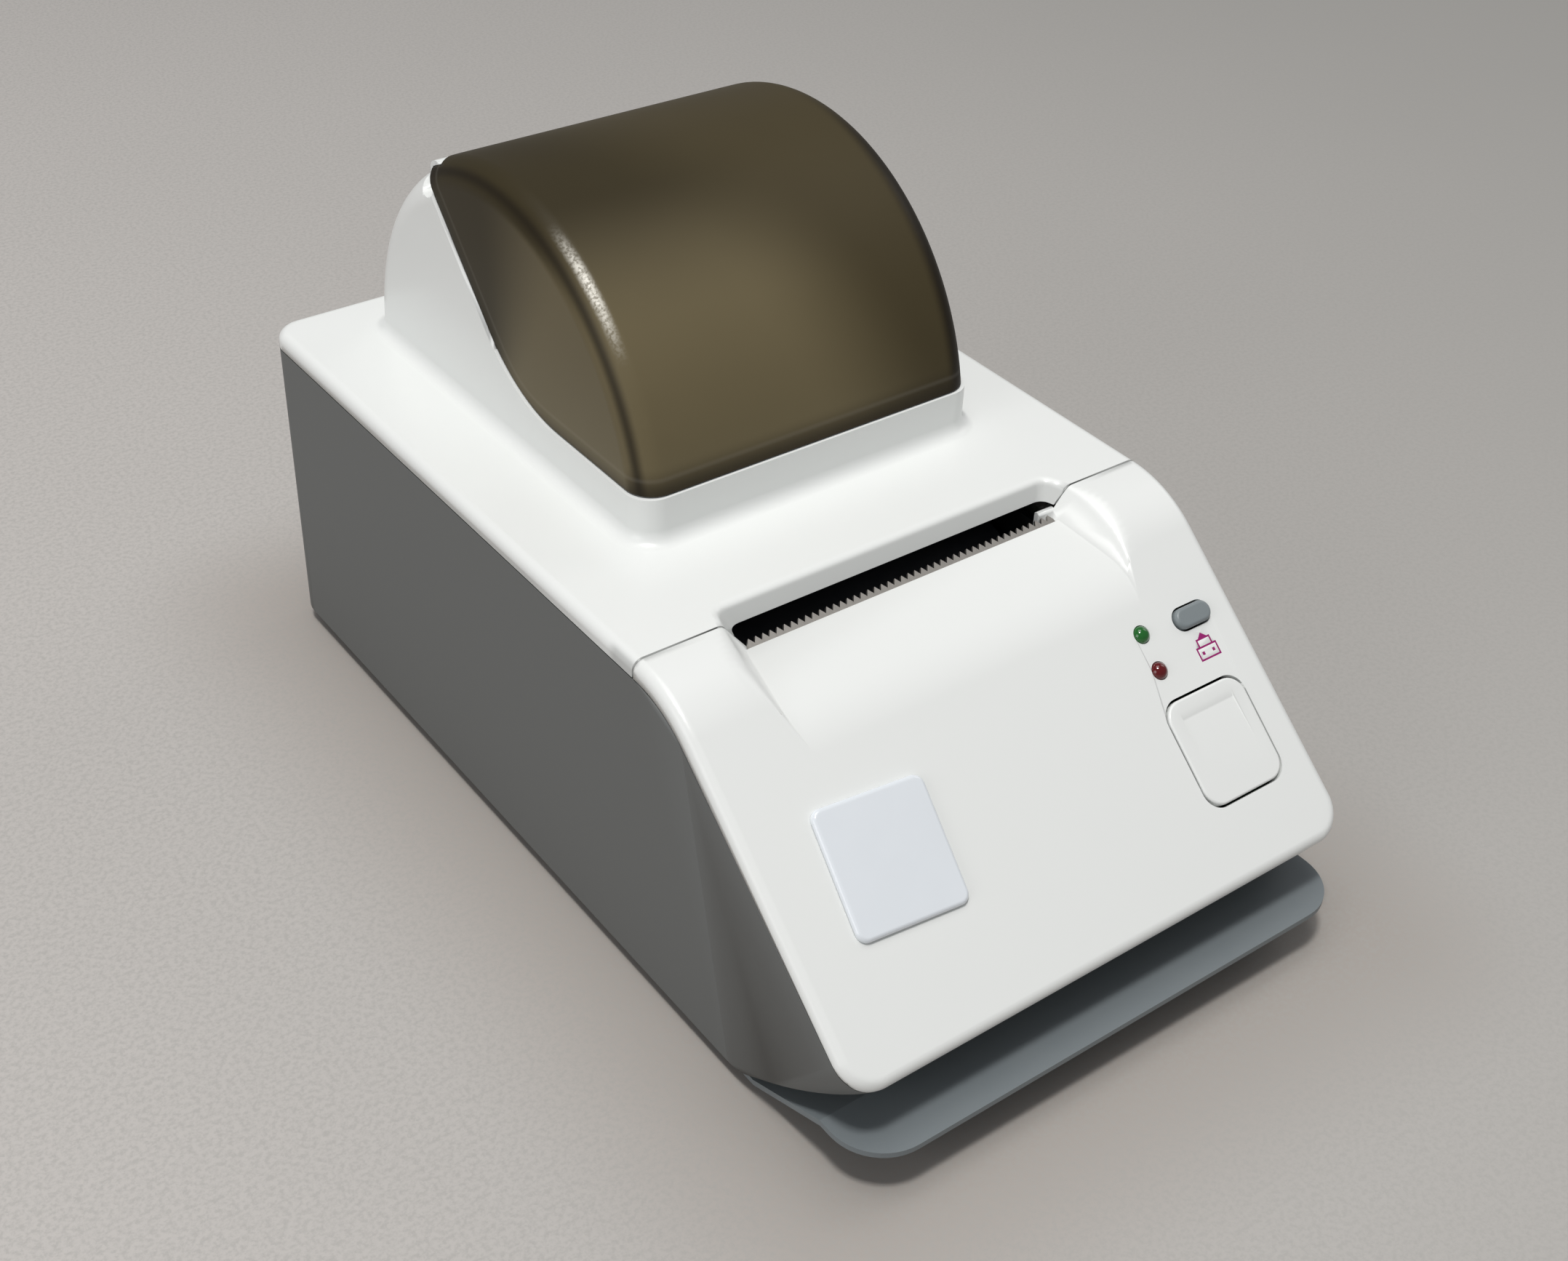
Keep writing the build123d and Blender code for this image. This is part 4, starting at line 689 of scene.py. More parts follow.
    def streak(
        self, graph: Graph, on: ShellPlaces, tone: bpy.types.NodeSocket, place: bpy.types.NodeSocket
    ) -> bpy.types.NodeSocket:
        """Adds a painted highlight: a sparkling light streak on the left shoulder, which the lamps don't
        cast.

        Args:
            graph: The material's graph.
            on: The places on the cover.
            tone: The tone so far.
            place: The object coordinates.

        Returns:
            The tone with its streak.
        """
        shoulder = graph.band(on.shoulder, *self.glint_shoulder)
        streak = graph.times(shoulder, graph.band(on.turn, *self.glint_turn))
        left = graph.fade(on.across, *self.glint_across)
        sparks = graph.noise(place, self.spark_scale, detail=2.0)
        spark = graph.math("ADD", graph.fade(sparks, *self.spark_range), self.spark_floor)
        lit = graph.times(streak, left, spark, self.glint_depth)
        return graph.blend(lit, tone, self.glint)

    def build(self) -> bpy.types.Material:
        """Builds the material.

        Returns:
            The new material.
        """
        material, graph, shader, place = self.begin(self.name)
        on = self.places(graph, place)
        tone = self.edges(graph, on, self.drum(graph, on))
        tone = self.streak(graph, on, tone, place)
        grain = graph.group(GROUPS.grain, {
            "Vector": place,
            "Base": tone,
            "Grain Scale": 1.0 / (Grain.SPARK.value * MM),
            "Drift Scale": self.drift_scale,
            "Drift": self.drift,
            "Roughness": self.roughness,
            "Roughness Drift": self.roughness_drift,
        })
        graph.feed(shader, {
            "Base Color": grain["Color"],
            "Roughness": grain["Roughness"],
            "Transmission Weight": self.clear,
            "Specular IOR Level": self.specular,
            "IOR": self.ior,
        })
        self.bump(graph, shader, grain["Height"], self.relief, self.depth)
        return material


@dataclass(frozen=True)
class SheetMetal(Finish):
    """Metal with fine rolling or turning lines along one axis."""

    name: str
    colour: Colour
    roughness: float = 0.32
    stretch: tuple[float, float, float] = (40.0, 2600.0, 2600.0)
    dark_share: float = 0.86
    roughness_swing: float = 0.12
    relief: float = 0.12
    depth: float = 0.004 * MM

    def build(self) -> bpy.types.Material:
        """Builds the material.

        Returns:
            The new material.
        """
        material, graph, shader, place = self.begin(self.name)
        turn = graph.add("ShaderNodeMapping")
        graph.feed(turn, {"Vector": place, "Scale": self.stretch})
        lines = graph.noise(turn.outputs["Vector"], 1.0, detail=3.0)
        dark = tuple(part * self.dark_share for part in self.colour)
        rough = graph.math("ADD", graph.times(lines, self.roughness_swing), self.roughness)
        tone = graph.blend(lines, dark, self.colour)
        graph.feed(shader, {"Base Color": tone, "Roughness": rough, "Metallic": 1.0})
        self.bump(graph, shader, lines, self.relief, self.depth)
        return material


@dataclass(frozen=True)
class ClearResin(Finish):
    """Tinted or clear cast resin over a coloured core."""

    name: str
    colour: Colour
    clear: float
    roughness: float = 0.08
    roughness_drift: float = 0.04
    grain_scale: float = 900.0
    drift_scale: float = 60.0
    drift: float = 0.10
    coat: float = 0.6
    coat_roughness: float = 0.05
    relief: float = 0.05
    depth: float = 0.01 * MM

    def build(self) -> bpy.types.Material:
        """Builds the material.

        Returns:
            The new material.
        """
        material, graph, shader, place = self.begin(self.name)
        grain = graph.group(GROUPS.grain, {
            "Vector": place,
            "Grain Scale": self.grain_scale,
            "Drift Scale": self.drift_scale,
            "Base": self.colour,
            "Drift": self.drift,
            "Roughness": self.roughness,
            "Roughness Drift": self.roughness_drift,
        })
        graph.feed(shader, {
            "Base Color": grain["Color"],
            "Roughness": grain["Roughness"],
            "Transmission Weight": self.clear,
            "IOR": PLASTIC_IOR,
            "Coat Weight": self.coat,
            "Coat Roughness": self.coat_roughness,
        })
        self.bump(graph, shader, grain["Height"], self.relief, self.depth)
        return material


@dataclass(frozen=True)
class FloorCloth(Finish):
    """Pale warm table covering with a fine embossed grain.

    Its tone falls off along one way over the table, and a painted contact shadow darkens it in a band
    round the printer's footprint, which is half a width and half a depth. The painted shadow is part of
    the finish and doesn't follow the printer's pose.
    """

    name: str
    colour: Colour
    shade: Colour
    contact_shadow: Colour
    weave_scale: float = 620.0
    weave_depth: float = 0.08 * MM
    relief: float = 0.25
    patch_scale: float = 3.2
    patch_swing: float = 0.20
    fall_way: tuple[float, float] = (0.94, -0.34)
    fall_reach: float = 0.42
    footprint: tuple[float, float] = (50.0 * MM, 88.0 * MM)
    contact_shadow_reach: float = 40.0 * MM
    contact_shadow_depth: float = 0.46
    grit_scale: float = 1100.0
    grit_range: Range = (0.40, 0.66)
    grit_depth: float = 0.55
    roughness: float = 0.62

    def gap(self, graph: Graph, x: bpy.types.NodeSocket, y: bpy.types.NodeSocket) -> bpy.types.NodeSocket:
        """Adds the distance to the printer's footprint.

        Args:
            graph: The material's graph.
            x: The place across.
            y: The place along.

        Returns:
            The distance, which is 0 on the footprint.
        """
        squares = []
        for place, half in zip((x, y), self.footprint):
            past = graph.math("SUBTRACT", graph.math("ABSOLUTE", place), half)
            off = graph.math("MAXIMUM", past, 0.0)
            squares.append(graph.times(off, off))
        return graph.math("SQRT", graph.math("ADD", *squares))

    def build(self) -> bpy.types.Material:
        """Builds the material.

        Returns:
            The new material.
        """
        material, graph, shader, place = self.begin(self.name)
        weave = graph.add("ShaderNodeTexVoronoi", feature="F1")
        graph.feed(weave, {"Vector": place, "Scale": self.weave_scale})
        slow = graph.noise(place, self.patch_scale, detail=3.0)
        fine = graph.noise(place, self.grit_scale, detail=4.0, roughness=0.7)
        x, y, _ = graph.split(place)
        flat = graph.math("ADD", graph.times(x, self.fall_way[0]), graph.times(y, self.fall_way[1]))
        patch = graph.times(graph.math("SUBTRACT", slow, 0.5), self.patch_swing)
        way = graph.math("ADD", flat, patch)
        tone = graph.blend(graph.fade(way, -self.fall_reach, self.fall_reach), self.colour, self.shade)
        # Painted contact shadow round the printer's footprint
        shadow_mask = graph.times(graph.fade(self.gap(graph, x, y), self.contact_shadow_reach, 0.0), self.contact_shadow_depth)
        tone = graph.blend(shadow_mask, tone, self.contact_shadow)
        grit = graph.times(graph.fade(fine, *self.grit_range), self.grit_depth)
        tone = graph.blend(grit, tone, self.shade)
        graph.feed(shader, {"Base Color": tone, "Roughness": self.roughness})
        self.bump(graph, shader, weave.outputs["Distance"], self.relief, self.weave_depth)
        return material


# The white shells carry the painted shade of the slot's recess and seam
WHITE = Moulding(
    "shell_white", linear(236, 238, 236), Sheen.LUSTRE, Grain.POLISHED, depth=0.003 * MM, drift=0.015,
    dust=0.03, coat=0.08, slot_shade=True,
)
GREY = Moulding(
    "case_grey", linear(105, 107, 106), Sheen.MATT, Grain.SPARK, depth=0.02 * MM, drift=0.05, dust=0.06
)
# The smoked cover's tones are painted light and shade: shaded top, lit front, shade, edge shade and a glint
SMOKE = SmokedShell(
    "cover_smoke", shaded_top=linear(56, 49, 31), lit_front=linear(108, 98, 73), shade=linear(70, 62, 42),
    edge_shade=linear(34, 28, 18), glint=linear(250, 246, 234),
)
PLATE = Moulding(
    "plate_grey", linear(118, 126, 130), Sheen.SATIN, Grain.SPARK, depth=0.012 * MM, drift=0.04, dust=0.10
)
RUBBER = Moulding(
    "foot_rubber", linear(34, 34, 35), Sheen.MATT, Grain.SATIN, depth=0.02 * MM, drift=0.10, dust=0.10
)
BLACK = Moulding(
    "mech_black", linear(52, 55, 62), Sheen.SATIN, Grain.SPARK, depth=0.01 * MM, drift=0.08, dust=0.10
)
TUB = Moulding(
    "bay_grey", linear(44, 42, 38), Sheen.SATIN, Grain.SPARK, depth=0.01 * MM, drift=0.05, dust=0.10
)
BUTTON = Moulding(
    "button_grey", linear(128, 136, 139), Sheen.SATIN, Grain.SPARK, depth=0.008 * MM, drift=0.04
)
GEAR = Moulding(
    "gear_plastic", linear(222, 219, 208), Sheen.SATIN, Grain.SATIN, depth=0.006 * MM, drift=0.04
)
BRONZE = SheetMetal("bush_bronze", linear(148, 112, 84), roughness=0.46, stretch=(900.0, 900.0, 900.0))
BOARD = Moulding(
    "board_green", linear(18, 92, 58), Sheen.SATIN, Grain.SATIN, depth=0.01 * MM, drift=0.20
)
PACKAGE = Moulding(
    "part_black", linear(36, 36, 38), Sheen.MATT, Grain.SPARK, depth=0.01 * MM, drift=0.10
)
MARK = Moulding(
    "mark_magenta", linear(152, 26, 108), Sheen.SATIN, Grain.SATIN, depth=0.002 * MM, drift=0.05, dust=0.0
)
CERAMIC = Moulding(
    "head_ceramic", linear(128, 116, 98), Sheen.GLOSS, Grain.POLISHED, depth=0.002 * MM, drift=0.06,
    dust=0.0,
)
RESISTOR = Moulding("part_buff", linear(150, 128, 96), Sheen.SATIN, Grain.SATIN, drift=0.10)
STEEL = SheetMetal("steel", linear(196, 196, 198), roughness=0.24)
BLADE = SheetMetal("blade_steel", linear(176, 172, 166), roughness=0.42, stretch=(2600.0, 60.0, 60.0))
FRAME_STEEL = SheetMetal("frame_steel", linear(88, 90, 92), roughness=0.46, stretch=(400.0, 400.0, 60.0))
ALUMINIUM = SheetMetal(
    "aluminium", linear(170, 172, 174), roughness=0.40, stretch=(30.0, 1800.0, 1800.0)
)
GREEN_LAMP = ClearResin("lamp_green", linear(30, 106, 38), clear=0.15, roughness=0.12)
RED_LAMP = ClearResin("lamp_red", linear(100, 10, 15), clear=0.15, roughness=0.12)
BADGE = ClearResin("badge_dome", linear(229, 234, 239), clear=0.0, roughness=0.06)
# The floor carries a painted contact shadow round the printer
FLOOR = FloorCloth(
    "table_cloth", linear(202, 197, 193), shade=linear(167, 165, 161), contact_shadow=linear(146, 134, 124)
)


class Growth:
    """Grows plain mesh pieces from one Geometry Nodes tree with named inputs."""

    def __init__(self, name: str, sizes: Sockets) -> None:
        """Opens the tree with its named inputs and its finish.

        Args:
            name: The tree's name.
            sizes: Input name to its kind and its size, or None where each piece gives its own.
        """
        self.sizes = {label: value for label, (_, value) in sizes.items()}
        self.tree = bpy.data.node_groups.new(name, "GeometryNodeTree")
        add_inputs(self.tree, {**sizes, "Finish": ("NodeSocketMaterial", None)})
        self.tree.interface.new_socket("Geometry", in_out="OUTPUT", socket_type="NodeSocketGeometry")
        self.graph = Graph(self.tree)
        self.given = self.graph.add("NodeGroupInput").outputs
        self.sink = self.graph.add("NodeGroupOutput")

    def vector(self, x: object, y: object, z: object) -> bpy.types.NodeSocket:
        """Adds a vector of three parts.

        Args:
            x: The part across, as a socket or a number.
            y: The part along, as a socket or a number.
            z: The part upwards, as a socket or a number.

        Returns:
            The vector's socket.
        """
        node = self.graph.add("ShaderNodeCombineXYZ")
        self.graph.feed(node, {"X": x, "Y": y, "Z": z})
        return node.outputs["Vector"]

    def cube(self, size: bpy.types.NodeSocket) -> bpy.types.NodeSocket:
        """Adds a box round the origin.

        Args:
            size: The vector of its sides.

        Returns:
            The box's socket.
        """
        node = self.graph.add("GeometryNodeMeshCube")
        self.graph.feed(node, {"Size": size})
        return node.outputs["Mesh"]

    def moved(
        self,
        shape: bpy.types.NodeSocket,
        place: bpy.types.NodeSocket | None = None,
        turn: bpy.types.NodeSocket | None = None,
        scale: bpy.types.NodeSocket | None = None,
    ) -> bpy.types.NodeSocket:
        """Moves, turns and scales a shape.

        Args:
            shape: The shape.
            place: The vector that it moves by.
            turn: Its turns about the three axes, in radians.
            scale: Its scale on the three axes.

        Returns:
            The moved shape's socket.
        """
        node = self.graph.add("GeometryNodeTransform")
        values = {"Geometry": shape, "Translation": place, "Rotation": turn, "Scale": scale}
        self.graph.feed(node, {label: value for label, value in values.items() if value is not None})
        return node.outputs["Geometry"]

    def joined(self, *shapes: bpy.types.NodeSocket) -> bpy.types.NodeSocket:
        """Joins several shapes into one.

        Args:
            shapes: The shapes.

        Returns:
            The joined shape's socket.
        """
        node = self.graph.add("GeometryNodeJoinGeometry")
        for shape in shapes:
            self.graph.join(shape, node.inputs["Geometry"])
        return node.outputs["Geometry"]

    def repeated(
        self,
        points: bpy.types.NodeSocket,
        shape: bpy.types.NodeSocket,
        chosen: bpy.types.NodeSocket | None = None,
    ) -> bpy.types.NodeSocket:
        """Sets a shape on points.

        Args:
            points: The points.
            shape: The shape.
            chosen: Which points take it, or None for all of them.

        Returns:
            The instances' socket.
        """
        node = self.graph.add("GeometryNodeInstanceOnPoints")
        self.graph.feed(node, {"Points": points, "Instance": shape})
        if chosen is not None:
            self.graph.join(chosen, node.inputs["Selection"])
        return node.outputs["Instances"]

    def row(
        self, count: bpy.types.NodeSocket, start: bpy.types.NodeSocket, step: bpy.types.NodeSocket
    ) -> bpy.types.NodeSocket:
        """Adds a row of points.

        Args:
            count: How many points it has.
            start: The first point.
            step: The way from each point to the next.

        Returns:
            The row's socket.
        """
        node = self.graph.add("GeometryNodeMeshLine", mode="OFFSET")
        self.graph.feed(node, {"Count": count, "Start Location": start, "Offset": step})
        return node.outputs["Mesh"]

    def close(self, shape: bpy.types.NodeSocket) -> None:
        """Ends the tree: instances become real and take the finish.

        Args:
            shape: The whole shape.
        """
        real = self.graph.add("GeometryNodeRealizeInstances")
        self.graph.feed(real, {"Geometry": shape})
        finish = self.graph.add("GeometryNodeSetMaterial")
        self.graph.feed(finish, {"Geometry": real.outputs["Geometry"], "Material": self.given["Finish"]})
        self.graph.feed(self.sink, {"Geometry": finish.outputs["Geometry"]})

    def grow(
        self, label: str, material: bpy.types.Material, own: dict[str, object] | None = None
    ) -> bpy.types.Object:
        """Evaluates the tree once and keeps its result as a plain mesh.

        Args:
            label: The new piece's name.
            material: The finish.
            own: Input name to value, for the inputs that differ from the tree's sizes.

        Returns:
            The piece, without its modifier.
        """
        seed = bpy.data.meshes.new(label + "_seed")
        piece = bpy.data.objects.new(label, seed)
        bpy.context.scene.collection.objects.link(piece)
        modifier = piece.modifiers.new("growth", "NODES")
        modifier.node_group = self.tree
        values = {**self.sizes, **(own or {}), "Finish": material}
        for item in self.tree.interface.items_tree:
            if item.item_type == "SOCKET" and item.in_out == "INPUT":
                modifier[item.identifier] = values[item.name]
        graph = bpy.context.evaluated_depsgraph_get()
        mesh = bpy.data.meshes.new_from_object(piece.evaluated_get(graph), depsgraph=graph)
        piece.modifiers.remove(modifier)
        piece.data = mesh
        bpy.data.meshes.remove(seed)
        log.info("grew %s with %d faces", label, len(mesh.polygons))
        return piece


@dataclass(frozen=True)
class Shells:
    """Dresses CAD nodes, or turns them into smooth shaded copies that stand in for them."""

    nodes: dict[str, bpy.types.Object]
    merge_distance: float = 0.002 * MM
    face_weight: int = 80

    def smooth(self, node: str, body: str, angle: float = 32.0) -> bpy.types.Object:
        """Copies a node's mesh, closes its seams and shades it smoothly between its sharp edges.

        Args:
            node: The CAD node's name.
            body: The body that the copy rides on.
            angle: The angle in degrees above which an edge stays sharp.

        Returns:
            The new object.
        """
        mesh = self.nodes[node].data.copy()
        mesh.materials.clear()
        shape = bmesh.new()
        shape.from_mesh(mesh)
        bmesh.ops.remove_doubles(shape, verts=shape.verts, dist=self.merge_distance)
        shape.to_mesh(mesh)
        shape.free()
        mesh.shade_smooth()
        mesh.set_sharp_from_angle(angle=math.radians(angle))
        piece = bpy.data.objects.new(node + "_skin", mesh)
        bpy.context.scene.collection.objects.link(piece)
        weigh = piece.modifiers.new("even_normals", "WEIGHTED_NORMAL")
        weigh.keep_sharp = True
        weigh.weight = self.face_weight
        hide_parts(node)
        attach(piece, body)
        log.info("smoothed %s on %s", node, body)
        return piece

    def dress(self, material: bpy.types.Material, *names: str) -> None:
        """Gives CAD nodes a finish through their own material slots.

        Args:
            material: The finish.
            names: The nodes' names.
        """
        for name in names:
            for place in self.nodes[name].material_slots:
                place.material = material
            log.info("dressed %s with %s", name, material.name)


def paint(piece: bpy.types.Object, material: bpy.types.Material) -> None:
    """Gives a piece one material and the record's slot for it.

    Args:
        piece: The object.
        material: Its material.
    """
    piece.data.materials.clear()
    piece.data.materials.append(material)


@dataclass(frozen=True)
class Camera:
    """The camera that matches the photograph. Its turn is in degrees, its lens and sensor in millimetres."""

    place: tuple[float, float, float] = (-0.17592, -0.22708, 0.24188)
    turn: tuple[float, float, float] = (53.2696, -1.9241, -36.4075)
    lens: float = 47.741
    sensor: float = 36.0
    clip: Range = (0.01, 20.0)

    def build(self) -> None:
        """Adds the camera and makes it the scene's own."""
        data = bpy.data.cameras.new("photo_camera")
        data.lens = self.lens
        data.sensor_width = self.sensor
        data.sensor_fit = "HORIZONTAL"
        data.clip_start, data.clip_end = self.clip
        camera = bpy.data.objects.new("photo_camera", data)
        camera.location = self.place
        camera.rotation_euler = Euler([math.radians(part) for part in self.turn], "XYZ")
        bpy.context.scene.collection.objects.link(camera)
        bpy.context.scene.camera = camera


@dataclass(frozen=True)
class Lamp:
    """One soft area lamp, with its place, its width and height, its watts and its tint."""

    name: str
    place: tuple[float, float, float]
    size: tuple[float, float]
    watts: float
    tint: Colour

    def build(self, aim: Vector) -> None:
        """Adds the lamp.

        Args:
            aim: What it looks at.
        """
        data = bpy.data.lights.new(self.name, "AREA")
        data.shape = "RECTANGLE"
        data.size, data.size_y = self.size
        data.energy = self.watts
        data.color = self.tint
        lamp = bpy.data.objects.new(self.name, data)
        lamp.location = self.place
        lamp.rotation_euler = (aim - Vector(self.place)).to_track_quat("-Z", "Y").to_euler()
        bpy.context.scene.collection.objects.link(lamp)


@dataclass(frozen=True)
class Studio:
    """Soft lamps, the world and the pale floor."""

    floor_size: float = 6.0
    floor_cells: int = 8
    world: Colour = (0.95, 0.965, 1.0)
    world_level: float = 0.22
    aim: tuple[float, float, float] = (0.0, 0.0, 0.04)
    lamps: tuple[Lamp, ...] = (
        Lamp("ceiling", (-0.05, 0.05, 1.35), size=(0.9, 0.7), watts=5.3, tint=(1.0, 0.99, 0.975)),
        Lamp("key", (-0.30, -0.24, 1.30), size=(0.16, 0.16), watts=8.2, tint=(1.0, 0.99, 0.975)),
        Lamp("left_fill", (-1.4, -0.25, 0.65), size=(0.8, 0.8), watts=4.4, tint=(0.985, 0.99, 1.0)),
        Lamp("right_fill", (1.3, 0.0, 0.9), size=(0.7, 0.7), watts=2.0, tint=(1.0, 0.985, 0.97)),
    )

    def floor(self) -> None:
        """Adds the floor, which belongs to the stage and not to the printer."""
        shape = bmesh.new()
        cells = self.floor_cells
        bmesh.ops.create_grid(shape, x_segments=cells, y_segments=cells, size=self.floor_size / 2)
        mesh = bpy.data.meshes.new("floor")
        shape.to_mesh(mesh)
        shape.free()
        floor = bpy.data.objects.new("floor", mesh)
        mesh.materials.append(FLOOR.build())
        bpy.context.scene.collection.objects.link(floor)

    def build(self) -> None:
        """Adds the world, the lamps and the floor."""
        world = bpy.data.worlds.new("studio")
        bpy.context.scene.world = world
        world.use_nodes = True
        back = world.node_tree.nodes["Background"]
        back.inputs["Color"].default_value = (*self.world, 1.0)
        back.inputs["Strength"].default_value = self.world_level
        for lamp in self.lamps:
            lamp.build(Vector(self.aim))
        self.floor()


@dataclass(frozen=True)
class Housing:
    """Case, deck, front and base plate with its feet."""

    shells: Shells
    white: bpy.types.Material
    plate_angle: float = 12.0

    def build(self) -> None:
        """Dresses the housing."""
        for node in ("top_cover", "front_fascia"):
            paint(self.shells.smooth(node, "printer"), self.white)
        paint(self.shells.smooth("lower_case", "printer"), GREY.build())
        paint(self.shells.smooth("base_plate", "printer", self.plate_angle), PLATE.build())
        self.shells.dress(RUBBER.build(), "rubber_feet")


@dataclass(frozen=True)
class RollBay:
    """Smoked cover on its hinge, the bay tub and the loose spool."""

    shells: Shells
    steel: bpy.types.Material
    black: bpy.types.Material

    def build(self) -> None:
        """Dresses the cover and the bay."""
        paint(self.shells.smooth("roll_cover", "cover"), SMOKE.build())
        self.shells.dress(TUB.build(), "roll_bay")
        self.shells.dress(self.black, "roll_spool")
        self.shells.dress(self.steel, "hinge_rod")


@dataclass(frozen=True)
class Controls:
    """Keys, lamps, feed mark and badge on the sloped front."""

    shells: Shells
    white: bpy.types.Material
    key_angle: float = 24.0

    def build(self) -> None:
        """Dresses the controls."""
        paint(self.shells.smooth("power_key", "key", self.key_angle), self.white)
        paint(self.shells.smooth("feed_button", "button"), BUTTON.build())
        paint(self.shells.smooth("front_badge", "printer"), BADGE.build())
        paint(self.shells.smooth("lamp_green", "printer"), GREEN_LAMP.build())
        paint(self.shells.smooth("lamp_red", "printer"), RED_LAMP.build())
        self.shells.dress(MARK.build(), "feed_mark")


@dataclass(frozen=True)
class TearBar:
    """Toothed steel sheet behind the chute floor, grown from its length and tooth count.

    It leans as its rise over its run says.
    """

    half_length: float = 30.4 * MM
    teeth: int = 46
    tooth: float = 1.0 * MM
    sheet: float = 5.6 * MM
    thickness: float = 0.6 * MM
    tip: tuple[float, float, float] = (0.0, -30.3478 * MM, 57.4 * MM)
    rise: float = 0.7 * MM
    run: float = 1.3 * MM

    def build(self) -> None:
        """Grows the tear bar in place of its plain solid."""
        growth = Growth("tear_bar_growth", {
            "Half Length": (FLOAT, self.half_length),
            "Teeth": (INTEGER, self.teeth),
            "Tooth": (FLOAT, self.tooth),
            "Sheet": (FLOAT, self.sheet),
            "Thickness": (FLOAT, self.thickness),
            "Tip": (VECTOR, self.tip),
            "Turn": (VECTOR, (math.atan2(self.rise, self.run), 0.0, 0.0)),
        })
        self.draw(growth)
        piece = growth.grow("tear_bar_rake", BLADE.build())
        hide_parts("tear_bar")
        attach(piece, "printer")

    def draw(self, growth: Growth) -> None:
        """Draws a row of triangular teeth and the sheet behind them.

        Args:
            growth: The growth to fill.
        """
        graph, given = growth.graph, growth.given
        length = graph.times(given["Half Length"], 2.0)
        pitch = graph.math("DIVIDE", length, given["Teeth"])
        middle = graph.times(given["Thickness"], -0.5)
        # The section of a prism of radius 1 is an even triangle of this base and height
        corners, base, height = 3, math.sqrt(3.0), 1.5
        prism = graph.add("GeometryNodeMeshCylinder", fill_type="NGON")
        graph.feed(prism, {"Vertices": corners, "Radius": 1.0, "Depth": given["Thickness"]})
        upright = growth.moved(prism.outputs["Mesh"], turn=growth.vector(0.0, 0.0, math.pi / 2))
        tall = graph.math("DIVIDE", given["Tooth"], height)
        spread = growth.vector(graph.math("DIVIDE", pitch, base), tall, 1.0)
        sized = growth.moved(upright, scale=spread)
        tooth = growth.moved(sized, place=growth.vector(0.0, graph.times(tall, -1.0), middle))
        start = graph.math("SUBTRACT", graph.times(pitch, 0.5), given["Half Length"])
        points = growth.row(given["Teeth"], growth.vector(start, 0.0, 0.0), growth.vector(pitch, 0.0, 0.0))
        rake = growth.repeated(points, tooth)
        depth = graph.math("SUBTRACT", given["Sheet"], given["Tooth"])
        sheet = growth.cube(growth.vector(length, depth, given["Thickness"]))
        centre = graph.times(graph.math("ADD", given["Sheet"], given["Tooth"]), -0.5)
        blade = growth.joined(rake, growth.moved(sheet, place=growth.vector(0.0, centre, middle)))
        growth.close(growth.moved(blade, place=given["Tip"], turn=given["Turn"]))


@dataclass(frozen=True)
class HeadSprings:
    """Two coil springs between the print head and the frame's bar, grown from wire, radius and turns.

    The start and the bar are places along and upwards, and the bar is not used. The lean is in radians.
    The pressed height is a share of the free one and is not used.
    """

    across: float = 18.0 * MM
    start: tuple[float, float] = (-27.977 * MM, 42.647 * MM)
    bar: tuple[float, float] = (-31.108 * MM, 41.777 * MM)
    lean: float = 1.8418
    radius: float = 1.65 * MM
    wire: float = 0.35 * MM
    turns: float = 3.5
    height: float = 2.9 * MM
    pressed: float = 0.8
    steps_per_turn: int = 24
    wire_sides: int = 10

    def draw(self, growth: Growth) -> None:
        """Draws one coil from its spiral and its round wire.

        Args:
            growth: The growth to fill.
        """
        graph, given = growth.graph, growth.given
        coil = graph.add("GeometryNodeCurveSpiral")
        graph.feed(coil, {
            "Resolution": self.steps_per_turn,
            "Rotations": given["Turns"],
            "Start Radius": given["Radius"],
            "End Radius": given["Radius"],
            "Height": given["Height"],
        })
        section = graph.add("GeometryNodeCurvePrimitiveCircle")
        graph.feed(section, {"Resolution": self.wire_sides, "Radius": given["Wire"]})
        swept = graph.add("GeometryNodeCurveToMesh")
        graph.feed(swept, {
            "Curve": coil.outputs["Curve"],
            "Profile Curve": section.outputs["Curve"],
            "Fill Caps": True,
        })
        growth.close(growth.moved(swept.outputs["Mesh"], place=given["Place"], turn=given["Lean"]))

    def build(self, steel: bpy.types.Material) -> None:
        """Grows both springs in place of their plain solids.

        Args:
            steel: The finish of the wire.
        """
        growth = Growth("head_spring_growth", {
            "Radius": (FLOAT, self.radius),
            "Wire": (FLOAT, self.wire),
            "Turns": (FLOAT, self.turns),
            "Height": (FLOAT, self.height),
            "Place": (VECTOR, None),
            "Lean": (VECTOR, (self.lean, 0.0, 0.0)),
        })
        self.draw(growth)
        for side, x in (("left", -self.across), ("right", self.across)):
            piece = growth.grow(f"head_spring_{side}_coil", steel, {"Place": (x, *self.start)})
            piece.data.shade_smooth()
            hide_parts(f"head_spring_{side}")
            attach(piece, "printer")
            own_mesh(piece)


